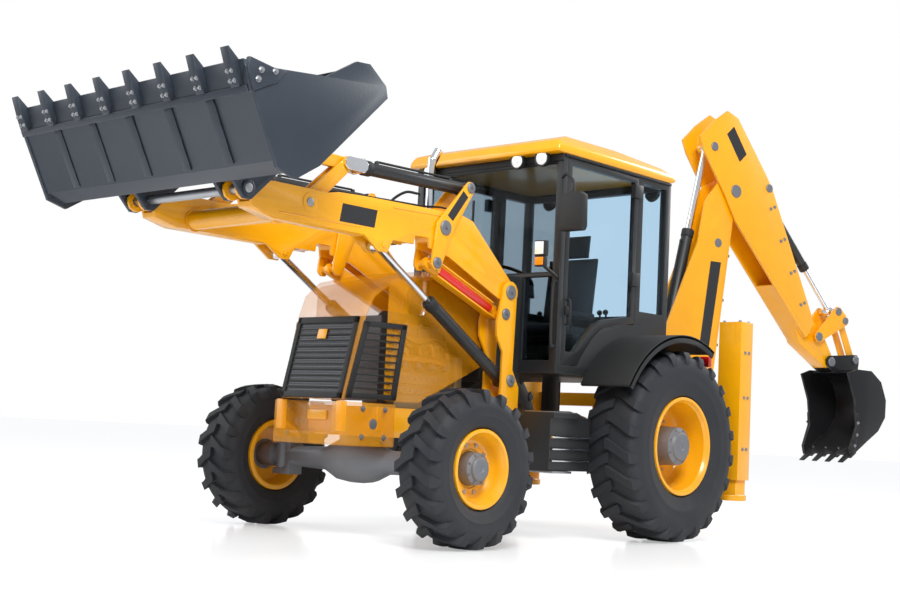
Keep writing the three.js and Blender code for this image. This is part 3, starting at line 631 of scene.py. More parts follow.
@dataclass
class Wheel:
    """A lugged tyre on a dished rim.

    Attributes:
        label: front or rear.
        side: 1 on the left, -1 on the right.
        body: The body that turns.
        width: Across the tyre.
        rim: The rim's radius.
        dish: How far the dish stands from the tyre's middle.
        lugs: Lugs on each half of the tread.
        bolts: Wheel bolts.
        bolt_ring: The bolts' circle.
    """

    label: str
    side: int
    body: str
    width: float
    rim: float
    dish: float
    lugs: int
    bolts: int
    bolt_ring: float

    lug_height: float = 30.0

    def __post_init__(self) -> None:
        """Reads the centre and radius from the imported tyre."""
        name = "left" if self.side > 0 else "right"
        self.node = f"{self.label}_tyre_{name}"
        self.rim_node = f"{self.label}_rim_{name}"
        low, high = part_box(self.node)
        centre = DRAWING.inverted() @ ((low + high) / 2)
        self.centre = Vector((centre.x, centre.y, centre.z))
        self.radius = (high.z - low.z) / 2 / MM
        self.out = Vector((self.side, 0, 0))

    def build(self) -> None:
        """Makes the tyre, the rim and the hub."""
        self._tyre()
        self._rim()
        self._hub()

    def _tyre(self) -> None:
        """Makes the carcass with its bead, bulged walls and lugs."""
        half, tread = self.width / 2, self.radius - self.lug_height
        wall = (self.radius - self.rim)
        outer = [
            (half - 52, self.rim + 2), (half - 34, self.rim + 14), (half - 22, self.rim + wall * 0.16),
            (half - 10, self.rim + wall * 0.3), (half - 6, self.rim + wall * 0.33),
            (half - 8, self.rim + wall * 0.36),
            (half - 2, self.rim + wall * 0.5), (half - 3, self.rim + wall * 0.62), (half - 14, tread - 44),
            (half - 34, tread - 14), (half - 70, tread),
        ]
        profile = outer + [(0, tread + 6)] + [(-a, r) for a, r in reversed(outer)]
        tyre = Shape()
        tyre.turned(profile, self.centre, self.out, 96, closed=True)
        for i in range(self.lugs):
            for half_side in SIDES:
                phase = (i + (0.5 if half_side < 0 else 0.0)) / self.lugs
                self._lug(tyre, math.tau * phase, half_side)
        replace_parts(tyre.make(f"{self.node}_lugged", RUBBER, self.body), self.node)

    def _lug(self, tyre: Shape, angle: float, half_side: int) -> None:
        """Adds one slanted lug that runs from the middle out over the shoulder."""
        half = self.width / 2
        step = math.tau / self.lugs
        stations = (
            (-0.06, self.radius, 0.30, 0.0), (0.30, self.radius, 0.27, 0.18),
            (0.66, self.radius - 3, 0.27, 0.42),
            (0.86, self.radius - 10, 0.30, 0.52), (0.97, self.radius - 44, 0.30, 0.56),
            (0.985, self.radius - 92, 0.2, 0.57),
        )
        rings = []
        for across, top, thick, lead in stations:
            foot = top - self.lug_height * 1.5 if across < 0.9 else top - 18
            x = across * half * half_side
            inward = x - (24 * half_side if across > 0.9 else 0)
            ring = []
            for place, radius, share in (
                (x, top, 0.82), (x, top, -0.82), (inward, foot, -1.0), (inward, foot, 1.0)
            ):
                turn = angle + step * (lead + thick * 0.9 * share * 0.8)
                ring.append(
                    self.centre + self.out * place + Vector((0, math.cos(turn), math.sin(turn))) * radius
                )
            rings.append(ring)
        tyre.grid(rings)

    def _rim(self) -> None:
        """Makes the rolled rim, its dish with a raised ring, and the wheel bolts."""
        half, rim, dish = self.width / 2, self.rim - 0.6, self.dish
        profile = [
            (half - 32, rim), (half - 28, rim - 4), (half - 30, rim - 22), (half - 44, rim - 26),
            (half - 60, rim - 40),
            (dish + 60, rim - 46), (dish + 22, rim - 70), (dish + 14, rim * 0.62), (dish + 20, rim * 0.60),
            (dish + 20, rim * 0.50), (dish + 12, rim * 0.48), (dish + 12, self.bolt_ring * 0.72),
            (dish - 12, self.bolt_ring * 0.72), (dish - 12, rim - 60), (30 - half, rim - 34),
            (30 - half, rim),
        ]
        wheel = Shape()
        wheel.turned(profile, self.centre, self.out, 72, closed=True)
        item = wheel.make(f"{self.rim_node}_dish", YELLOW, self.body, 1.5)
        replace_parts(item, self.rim_node)
        bolts = Shape()
        for i in range(self.bolts):
            turn = math.tau * i / self.bolts
            radial = Vector((0, math.cos(turn), math.sin(turn)))
            bolts.bolt(self.centre + self.out * (dish + 12) + radial * self.bolt_ring, self.out, 26)
        bolts.make(f"{self.rim_node}_nuts", STEEL, self.body, 1)

    def _hub(self) -> None:
        """Makes the dark hub that shows in the dish, with its ring of screws."""
        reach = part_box(self.rim_node)[
            1 if self.side > 0 else 0
        ].x / MM * self.side - self.centre.x * self.side
        low = self.dish - 10
        r = self.bolt_ring * 0.72
        top = min(reach, self.width / 2) - 6
        profile = [
            (low, 0), (low, r - 1), (self.dish + 30, r - 1), (top - 36, r * 0.93), (top - 26, r * 0.72),
            (top - 8, r * 0.68),
            (top, r * 0.56), (top, r * 0.2), (top - 5, r * 0.16), (top - 5, 0),
        ]
        hub = Shape()
        hub.turned(profile, self.centre, self.out, 48)
        for i in range(8):
            turn = math.tau * (i + 0.5) / 8
            radial = Vector((0, math.cos(turn), math.sin(turn)))
            hub.bolt(self.centre + self.out * (top - 34) + radial * r * 0.83, self.out, 14)
        hub.make(f"{self.rim_node}_hub", CAST, self.body, 1)


# ------------------------------------------------------------------ front body


@dataclass
class HoodDress:
    """The hood's see-through panels and its black grille.

    Attributes:
        foot: The front face's lower edge, (y, z).
        brow: Its upper edge.
        half: Half its width.
        bars: Horizontal bars.
        wires: Wires of the mesh, across.
    """

    foot: Point = (-2630, 890)
    brow: Point = (-2500, 1440)
    half: float = 290.0
    bars: int = 11
    wires: int = 34
    body: str = "hood_lid"

    def build(self) -> None:
        """Makes the skin and the grille."""
        skin("hood", AMBER, 8)
        foot, brow = Vector((0, *self.foot)), Vector((0, *self.brow))
        self.up = (brow - foot).normalized()
        self.out = Vector((0, -self.up.z, self.up.y))
        self.height = (brow - foot).length
        self.origin = foot
        self._grille()
        self._side_vents()

    def _at(self, x: float, up: float, out: float) -> Vector:
        """Returns a point on the front face."""
        return self.origin + Vector((x, 0, 0)) + self.up * up + self.out * out

    def _plank(
        self, shape: Shape, x0: float, x1: float, up0: float, up1: float, out0: float, out1: float
    ) -> None:
        """Adds a block laid on the front face."""
        rings = []
        for up in (up0, up1):
            rings.append([self._at(x, up, o) for x, o in ((x0, out0), (x1, out0), (x1, out1), (x0, out1))])
        shape.grid(rings)

    def _grille(self) -> None:
        """Makes the frame, the bars, the mesh and the blank plate."""
        h, half = self.height, self.half
        frame_shape = Shape()
        for x0, x1, a, b in (
            (-half, half, 8, 44), (-half, half, h - 50, h - 6), (
                -half, -half + 34, 8, h - 6
            ), (half - 34, half, 8, h - 6)
        ):
            self._plank(frame_shape, x0, x1, a, b, -4, 16)
        for i in range(self.bars):
            up = 60 + (h - 130) * (i + 0.5) / self.bars
            self._plank(frame_shape, -half + 30, half - 30, up - 5, up + 5, 2, 12)
        frame_shape.make("grille_frame", TRIM, self.body, 2)
        mesh = Shape()
        for i in range(self.wires + 1):
            x = -half + 34 + (2 * half - 68) * i / self.wires
            self._plank(mesh, x - 2.2, x + 2.2, 40, h - 46, 1.5, 5)
        rows = int(self.wires * 0.9)
        for i in range(rows + 1):
            up = 44 + (h - 94) * i / rows
            self._plank(mesh, -half + 30, half - 30, up - 2.2, up + 2.2, 1.5, 6)
        mesh.make("grille_mesh", MESH, self.body)
        back = Shape()
        self._plank(back, -half + 10, half - 10, 20, h - 20, 0.5, 1.4)
        back.make("grille_back", DECAL, self.body)
        plate = Shape()
        self._plank(plate, -62, 22, h - 158, h - 92, 12, 18)
        plate.make("grille_plate", YELLOW, self.body, 2)

    def _side_vents(self) -> None:
        """Makes the black slanted frames on the hood's bevelled front corners."""
        for side in SIDES:
            vent = Shape()
            slope = (376 - 290) / (2700 - 2150)

            def corner(y: float, out: float) -> float:
                """Returns the bevel's place across the machine."""
                return side * (290 + (y + 2700) * slope + out)

            def panel(y0: float, y1: float, z0: float, z1: float, lean: float, thick: float) -> None:
                """Adds a leaning block along the bevel."""
                rings = []
                for z, shift in ((z0, 0.0), (z1, lean)):
                    a, b = y0 + shift, y1 + shift
                    rings.append([
                        Vector((corner(a, 0.5), a, z)), Vector((corner(b, 0.5), b, z)),
                        Vector((corner(b, thick), b, z)), Vector((corner(a, thick), a, z)),
                    ])
                vent.grid(rings)

            lean = 118.0
            panel(-2612, -2572, 905, 1405, lean, 12)
            panel(-2260, -2222, 905, 1405, lean * 0.55, 12)
            panel(-2612, -2222, 905, 940, 8, 12)
            panel(-2505, -2170, 1372, 1408, 8, 12)
            for i in range(9):
                z = 965 + 45 * i
                panel(-2590 + (z - 905) * 0.235, -2235 + (z - 905) * 0.12, z, z + 12, 4, 9)
            vent.make(f"hood_side_vent_{'left' if side > 0 else 'right'}", TRIM, self.body, 1.5)


@dataclass
class FrontWeightDress:
    """The cast weight under the grille, see-through, with its bright blocks and blank plate."""

    node: str = "front_weight"
    body: str = "chassis"

    def build(self) -> None:
        """Makes the skin, the two bright blocks, the plate and the bolts."""
        skin(self.node, AMBER_SOLID, 8)
        blocks = Shape()
        for x in (-318, 262):
            blocks.box((x, -2642, 690), (x + 56, -2600, 884))
        blocks.make("weight_bright_blocks", YELLOW, self.body, 4)
        plate = Shape()
        plate.box((-92, -2568, 760), (92, -2559, 822))
        plate.make("weight_blank_plate", YELLOW, self.body, 2)
        bolts = Shape()
        for side in SIDES:
            for y, z in ((-2500, 840), (-2500, 660), (-2300, 840), (-2300, 660)):
                bolts.bolt((side * 359, y, z), (side, 0, 0), 26)
            bolts.slab(arc((-2400, 745), 34, 0, 360, 20)[:-1], side * 356, side * 362)
        bolts.make("weight_bolts", CAST, self.body, 1)


@dataclass
class EngineBay:
    """The engine, radiator and gearbox that show through the hood.

    Attributes:
        cylinders: Cylinders in line.
    """

    cylinders: int = 4
    body: str = "chassis"

    def build(self) -> None:
        """Makes the block, its fittings and the exhaust."""
        self._block()
        self._radiator()
        self._pulleys()
        self._pipes()
        self._exhaust()

    def _block(self) -> None:
        """Makes the block, sump, heads and gearbox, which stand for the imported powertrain."""
        block = Shape()
        block.box((-170, -2080, 960), (170, -1500, 1260))
        block.box((-205, -2060, 1030), (205, -1540, 1110))
        block.box((-150, -2050, 1255), (150, -1520, 1360))
        block.slab([(-130, 700), (130, 700), (165, 962), (-165, 962)], -2020, -1520, Axis.Y)
        block.slab([(-230, -1500), (230, -1500), (230, -1430), (-230, -1430)], 860, 1240, Axis.Z)
        block.turned(
            [(0, 0), (0, 190), (90, 178), (330, 150), (640, 140), (900, 110), (900, 0)], (0, -1460, 860),
            (0, 1, 0), 32
        )
        block.box((-200, -1330, 660), (200, -760, 900))
        for i in range(7):
            y = -1300 + i * 80
            block.box((-208, y, 650), (208, y + 16, 1000))
        block.rod((0, -570, 650), (0, -240, 690), 55)
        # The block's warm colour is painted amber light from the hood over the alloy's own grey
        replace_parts(block.make("engine_block", ALLOY_AMBER_LIT, self.body, 5), "powertrain")
        cover = Shape()
        for i in range(self.cylinders):
            y = -1975 + i * 135
            cover.box((-110, y - 55, 1358), (110, y + 55, 1425))
            for side in SIDES:
                cover.rod((side * 150, y, 1150), (side * 214, y, 1170), 28)
                cover.rod((side * 60, y, 1424), (side * 60, y, 1462), 12)
        cover.box((-70, -2050, 1424), (70, -1500, 1446))
        cover.make("engine_covers", CAST, self.body, 5)
        bolts = Shape()
        for side in SIDES:
            for i in range(10):
                y = -2040 + i * 56
                bolts.bolt((side * 170, y, 985), (side, 0, 0), 15)
                bolts.bolt((side * 170, y, 1235), (side, 0, 0), 15)
                bolts.bolt((side * 205, y, 1070), (side, 0, 0), 13)
        bolts.make("engine_bolts", STEEL, self.body)

    def _radiator(self) -> None:
        """Makes the cooler pack behind the grille."""
        core = Shape()
        core.box((-225, -2236, 900), (225, -2180, 1470))
        for i in range(28):
            z = 912 + i * 20
            core.box((-222, -2240, z), (222, -2235, z + 5))
        core.make("radiator", CAST, self.body)
        tank = Shape()
        tank.both_boxes((212, -2239, 890), (229, -2170, 1490))
        tank.make("radiator_tanks", TRIM, self.body, 4)

    def _pulleys(self) -> None:
        """Makes the fan, belt wheels and alternator."""
        fan = Shape()
        for i in range(9):
            turn = math.tau * i / 9
            a = Vector((math.cos(turn), 0, math.sin(turn)))
            b = Vector((-math.sin(turn), 0, math.cos(turn)))
            centre = Vector((0, -2140, 1180))
            inner, outer = centre + a * 40, centre + a * 195
            fan.grid([
                [
                    inner - b * 22 + Vector((0, -10, 0)), inner + b * 22 + Vector((0, 12, 0)),
                    inner + b * 22 + Vector((0, 16, 0)), inner - b * 22 + Vector((0, -6, 0))
                ],
                [
                    outer - b * 46 + Vector((0, -14, 0)), outer + b * 46 + Vector((0, 16, 0)),
                    outer + b * 46 + Vector((0, 20, 0)), outer - b * 46 + Vector((0, -10, 0))
                ],
            ])
        fan.rod((0, -2165, 1180), (0, -2080, 1180), 46, 32)
        fan.make("cooling_fan", TRIM, self.body)
        wheels = Shape()
        for x, z, r in ((0, 1010, 82), (-150, 1240, 52), (150, 1270, 62), (70, 1130, 40)):
            for shift in (0, 14, 28):
                wheels.rod((x, -2100 + shift, z), (x, -2092 + shift, z), r, 36)
            wheels.rod((x, -2100, z), (x, -2064, z), r * 0.85, 36)
        wheels.rod((-150, -2064, 1240), (-150, -1930, 1240), 66, 32)
        wheels.rod((150, -2064, 1270), (150, -1960, 1270), 58, 32)
        wheels.make("belt_wheels", STEEL, self.body, 1)

    def _pipes(self) -> None:
        """Makes the air filter, manifolds, filters, wiring and coolant hoses."""
        hoses = Shape()
        hoses.tube(flow([(160, -2200, 1430), (190, -2080, 1440), (120, -2020, 1400)]), 30, 16)
        hoses.tube(flow([(-160, -2200, 960), (-205, -2120, 930), (-150, -2030, 960)]), 28, 16)
        for side in SIDES:
            hoses.tube(
                flow(
                    [
                        (side * 215, -2100, 1380), (side * 222, -1900, 1300), (side * 214, -1700, 1330),
                        (side * 205, -1520, 1250)
                    ]
                ),
                11
            )
            hoses.tube(
                flow([(side * 210, -2080, 1330), (side * 218, -1850, 1220), (side * 212, -1640, 1180)]), 8
            )
        hoses.make("engine_hoses", HOSE, self.body)
        canister = Shape()
        canister.turned(
            [(0, 0), (0, 60), (14, 74), (380, 74), (394, 62), (394, 0)], (-90, -1930, 1500 - 36), (0, 1, 0),
            32
        )
        canister.make("air_filter", TRIM, self.body, 2)
        brass = Shape()
        brass.tube(flow([(200, -2030, 1200), (214, -1800, 1210), (210, -1600, 1195)]), 24, 14)
        for i in range(self.cylinders):
            y = -1975 + i * 135
            brass.tube(flow([(150, y, 1300), (185, y, 1290), (205, y + 10, 1215)], 6), 20, 12)
            brass.tube(flow([(-150, y, 1310), (-190, y, 1290), (-205, y + 20, 1230)], 6), 22, 12)
        brass.make("engine_manifold", COPPER, self.body)
        filters = Shape()
        for y in (-1850, -1720, -1600):
            filters.turned(
                [(0, 0), (0, 34), (8, 42), (130, 42), (138, 36), (138, 0)], (-185, y, 930), (0, 0, 1), 24
            )
        filters.make("oil_filters", STEEL, self.body, 1)

    def _exhaust(self) -> None:
        """Makes the polished stack with its curved tip and its clamp."""
        stack = Shape()
        route = [(
            -200, -1500, 1400
        ), (-262, -1400, 1470), (-290, -1310, 1600), (-290, -1310, 1900), (-290, -1310, 2660),
                 (-286, -1296, 2730), (-272, -1258, 2812)]
        stack.tube(flow(route, 10), 33, 28)
        stack.make("exhaust_stack", CHROME, self.body)
        clamp = Shape()
        clamp.rod((-290, -1310, 1880), (-290, -1310, 1925), 36, 28)
        clamp.rod((-290, -1310, 2300), (-290, -1310, 2318), 36, 28)
        clamp.make("exhaust_clamps", BLACK, self.body, 1)




# ------------------------------------------------------------------ cab


@dataclass
class Cab:
    """The glazed cab with its roof, lamps, mirrors and driver's place.

    Attributes:
        half: Half the cab's width.
        front: Its front face.
        rear: Its rear face.
        pillar: The posts' thickness.
        glass: A pane's thickness.
    """

    half: float = 720.0
    front: float = -1000.0
    rear: float = 360.0
    pillar: float = 60.0
    glass: float = 6.0
    body: str = "chassis"

    def build(self) -> None:
        """Makes the shell, panes, roof, lamps, mirrors and seat."""
        skin("cab_frame", BLACK, 6)
        self._panes()
        self._doors()
        self._roof()
        self._lamps()
        self._mirrors()
        self._wipers()
        self._driver()
        self._controls()

    def _panes(self) -> None:
        """Makes the fixed panes, set back in their frames."""
        inner = self.half - self.pillar - 1
        screen = Shape()
        screen.box((-inner, self.front + 14, 1881), (inner, self.front + 14 + self.glass, 2679))
        screen.make("windscreen", WINDSCREEN, self.body)
        lower = Shape()
        for x0, x1 in ((401, inner), (-inner, -401)):
            lower.box((x0, self.front + 14, 1261), (x1, self.front + 14 + self.glass, 1859))
        lower.make("lower_front_panes", WINDSCREEN, self.body)
        back = Shape()
        back.box((-inner, self.rear - 14 - self.glass, 1701), (inner, self.rear - 14, 2679))
        back.make("rear_window", DOOR_GLASS, self.body)
        quarter = Shape()
        quarter.both_boxes((self.half - 22, -9, 1701), (self.half - 16, 299, 2679))
        quarter.make("quarter_panes", DOOR_GLASS, self.body)
        gasket = Shape()
        for z0, z1 in ((1880, 1892), (2668, 2680)):
            gasket.box((-inner, self.front + 6, z0), (inner, self.front + 13.5, z1))
        gasket.make("screen_gasket", TRIM, self.body)

    def _doors(self) -> None:
        """Makes each door's skin, pane, handle and hinge pods."""
        outline = [
            (-897, 1331), (-800, 1331), (-690, 1441), (-580, 1541), (-480, 1591), (-123, 1651),
            (-123, 2671), (-897, 2671)
        ]
        for side, name in ((1, "left"), (-1, "right")):
            body = f"{name}_door"
            skin(f"door_{name}", BLACK, 5)
            pane = Shape()
            pane.slab(outline, side * (self.half - 24), side * (self.half - 18))
            pane.make(f"door_pane_{name}", DOOR_GLASS, body)
            grip = Shape()
            face = self.half
            grip.tube(
                flow(
                    [
                        (side * face, -905, 1520), (side * (face + 34), -905, 1540),
                        (side * (face + 34), -905, 1680), (side * face, -905, 1700)
                    ],
                    6
                ),
                9
            )
            grip.box(
                (min(side * face, side * (face + 16)), -925, 1590),
                (max(side * face, side * (face + 16)), -885, 1650)
            )
            for z in (1930, 2600):
                grip.slab(arc((-122, z), 30, 0, 360, 20)[:-1], side * (face + 6), side * (face + 38))
            grip.make(f"door_fittings_{name}", TRIM, body, 3)

    def _roof(self) -> None:
        """Makes the roof's skin and its black band."""
        skin("cab_roof", YELLOW, 14)
        band = Shape()
        band.box((-724, -1012, 2690), (724, -1001, 2739.5))
        band.both_boxes((720.5, -985, 2722), (732, 350, 2739.5))
        band.make("roof_band", TRIM, self.body, 3)

    def _lamps(self) -> None:
        """Makes the round work lights under the roof's brow and the side lamps."""
        pods, lenses = Shape(), Shape()
        for x in (-560, 330, 560):
            pods.turned(
                [(0, 0), (0, 44), (12, 60), (46, 62), (46, 56), (40, 52), (40, 0)], (x, -1020, 2712),
                (0, -1, -0.08), 32
            )
            pods.box((x - 16, -1040, 2728), (x + 16, -1012, 2739))
            lenses.turned(
                [(38, 0), (38, 50), (44, 48), (50, 30), (52, 0)], (x, -1020, 2712), (0, -1, -0.08), 32
            )
        for x in (-520, 520):
            pods.turned(
                [(0, 0), (0, 44), (12, 60), (46, 62), (46, 56), (40, 52), (40, 0)], (x, 368, 2690),
                (0, 0.3, -0.12), 32
            )
            lenses.turned([(38, 0), (38, 50), (44, 48), (48, 0)], (x, 368, 2690), (0, 0.3, -0.12), 32)
        for side in SIDES:
            x = side * 850
            pods.box((x - 44, -1392, 1948), (x + 44, -1346, 2050))
            pods.box((x - 40, -1388, 1874), (x + 40, -1350, 1944))
            lenses.box((x - 36, -1398, 1956), (x + 36, -1391, 2042))
            pods.tube([(x, -1350, 1930), (x, -1330, 1880), (side * 700, -1000, 1850)], 12)
        pods.make("lamp_pods", TRIM, self.body, 3)
        lenses.make("lamp_lenses", LENS, self.body, 1)
        amber = Shape()
        for side in SIDES:
            x = side * 850
            amber.box((x - 34, -1396, 1882), (x + 34, -1387, 1936))
        amber.make("indicator_lenses", AMBER_LENS, self.body, 2)

    def _mirrors(self) -> None:
        """Makes the tall mirrors on their arms."""
        shells, faces = Shape(), Shape()
        for side in SIDES:
            x = side * 920
            shells.tube(
                flow(
                    [
                        (side * 715, -1004, 2560), (side * 800, -1060, 2570), (side * 900, -1110, 2500),
                        (x, -1120, 2400)
                    ],
                    6
                ),
                11
            )
            shells.slab(
                [
                    (x - 90, 2150), (x + 90, 2150), (x + 104, 2180), (x + 98, 2400), (x + 60, 2424),
                    (x - 60, 2424), (x - 98, 2400), (x - 104, 2180)
                ],
                -1150, -1090, Axis.Y,
            )
            faces.slab(
                [
                    (x - 80, 2166), (x + 80, 2166), (x + 88, 2390), (x + 56, 2410), (x - 56, 2410),
                    (x - 88, 2390)
                ],
                -1090.5, -1087, Axis.Y,
            )
        shells.make("mirror_shells", TRIM, self.body, 8)
        faces.make("mirror_faces", CHROME, self.body)

    def _wipers(self) -> None:
        """Makes the wiper and the grab rails on the front posts."""
        wiper = Shape()
        wiper.rod((60, -1001, 1870), (60, -1030, 1870), 18)
        wiper.tube([(60, -1026, 1870), (-120, -1014, 2240)], 6)
        wiper.box((-128, -1016, 2000), (-114, -1002, 2460))
        for side in SIDES:
            x = side * 700
            wiper.tube(
                flow([(x, -1002, 1360), (x, -1040, 1390), (x, -1040, 1790), (x, -1002, 1820)], 6), 12
            )
        wiper.make("wiper_and_rails", TRIM, self.body, 1)

    def _driver(self) -> None:
        """Makes the seat on its base, padded and sewn."""
        base = Shape()
        base.box((-640, -895, 1201), (640, 275, 1228))
        base.box((-170, -400, 1228), (170, 0, 1330))
        for i in range(5):
            base.box((-160 + i * 5, -390 + i * 5, 1334 + i * 26), (160 - i * 5, -10 - i * 5, 1348 + i * 26))
        base.box((-200, -430, 1455), (200, 10, 1482))
        for side in SIDES:
            x = side * 255
            base.box((x - 30, -330, 1640), (x + 30, 10, 1690))
            base.box((x - 90, -520, 1228), (x - 20, -200, 1400))
        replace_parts(base.make("seat_base_and_floor", TRIM, self.body, 5), "cab_interior")
        pads = (
            ("seat_cushion", (-240, -470, 1484), (240, 30, 1590), 0.0),
            ("seat_back", (-230, -30, 1585), (230, 70, 2140), 0.12),
            ("seat_headrest", (-130, 60, 2150), (130, 130, 2330), 0.1),
        )
        for name, low, high, lean in pads:
            item = self._pad(name, low, high, lean)

    def _pad(self, name: str, low: Point, high: Point, lean: float) -> bpy.types.Object:
        """Makes a crowned cushion with pulled-in sides and two sewn channels.

        Args:
            name: The piece's name.
            low: Lowest corner.
            high: Highest corner.
            lean: How far it leans back for each step up.

        Returns:
            The cushion.
        """
        shape = Shape()
        bmesh.ops.create_cube(shape.mesh, size=2.0)
        bmesh.ops.subdivide_edges(shape.mesh, edges=shape.mesh.edges[:], cuts=15, use_grid_fill=True)
        low_v, high_v = Vector(low), Vector(high)
        middle, half = (low_v + high_v) / 2, (high_v - low_v) / 2
        thin = min(range(3), key=lambda k: half[k])
        wide = [k for k in range(3) if k != thin]
        for vert in shape.mesh.verts:
            p = vert.co.copy()
            a, b = p[wide[0]], p[wide[1]]
            crown = (1 - a**4) * (1 - b**4)
            q = p.copy()
            q[thin] = p[thin] * (0.55 + 0.45 * crown**0.4)
            for k in wide:
                q[k] = p[k] * (1 - 0.035 * p[thin] ** 2)
            channel = min(abs(a - 0.55), abs(a + 0.55))
            if channel < 0.06 and abs(p[thin]) > 0.99:
                q[thin] *= 0.86
            vert.co = Vector((q[k] * half[k] + middle[k] for k in range(3)))
            vert.co.y += lean * (vert.co.z - low_v.z)
        return shape.make(name, SEAT, self.body)

    def _controls(self) -> None:
        """Makes the steering column and wheel, the console and the levers."""
        parts = Shape()
        parts.slab([(-890, 1230), (-700, 1230), (-690, 1500), (-730, 1760), (-850, 1760)], -110, 110)
        parts.slab([(-880, 1740), (-700, 1740), (-720, 1830), (-860, 1850)], -260, 260)
        parts.rod((0, -770, 1740), (0, -700, 1880), 34)
        rim_centre, tilt = Vector((0, -690, 1898)), Vector((0, 0.42, 0.9)).normalized()
        across = Vector((1, 0, 0))
        over = tilt.cross(across)
        ring = [
            rim_centre + (
                across * math.cos(t) + over * math.sin(t)
            ) * 178 for t in (math.tau * i / 40 for i in range(41))
        ]
        parts.tube(ring, 13, 12)
        for turn in (0.5, 2.6, 4.7):
            parts.rod(
                rim_centre - tilt * 8, rim_centre + (across * math.cos(turn) + over * math.sin(turn)) * 176,
                10, 10
            )
        parts.rod(rim_centre - tilt * 24, rim_centre + tilt * 8, 38, 24)
        for x, y in (
            (330, -420), (390, -420), (-330, -300), (330, 120), (250, 150), (-250, 150), (-330, 120)
        ):
            parts.box((x - 40, y - 30, 1228), (x + 40, y + 60, 1500))
            parts.tube(flow([(x, y, 1490), (x + 6, y - 12, 1600), (x, y - 30, 1700)], 5), 8)
            parts.ball((x, y - 32, 1712), 22)
        parts.make("cab_controls", TRIM, self.body, 3)


@dataclass
class Fenders:
    """The rear wheels' black arched guards.

    Attributes:
        radius: The guard's outer radius.
        thick: Its thickness.
        inner: Where it meets the cab.
        outer: Its outer edge.
    """

    radius: float = 815.0
    thick: float = 26.0
    inner: float = 720.3
    outer: float = 1149.0
    body: str = "chassis"

    def build(self) -> None:
        """Makes both guards with a rolled lip and a flare."""
        for side, name in ((1, "left"), (-1, "right")):
            guard = Shape()
            top = arc((0, 700), self.radius, 62, 150, 36)
            under = arc((0, 700), self.radius - self.thick, 150, 62, 36)
            guard.slab(top + under, side * self.inner, side * self.outer)
            lip_top = arc((0, 700), self.radius - 4, 62, 150, 36)
            lip_low = arc((0, 700), self.radius - 58, 150, 62, 36)
            guard.slab(lip_top + lip_low, side * (self.outer - 14), side * self.outer)
            wall = arc((0, 700), self.radius - 2, 62, 150, 36) + [(-640, 1180), (300, 1180)]
            guard.slab(wall, side * (self.inner + 0.2), side * (self.inner + 11))
            item = guard.make(f"fender_guard_{name}", TRIM, self.body, 6)
            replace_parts(item, f"fender_{name}")
            tail = Shape()
            tail.box((side * 1010 - 60, 425, 1310), (side * 1010 + 60, 470, 1390))
            tail.make(f"tail_lamp_{name}", RED_LENS, self.body, 4)


# ------------------------------------------------------------------ chassis


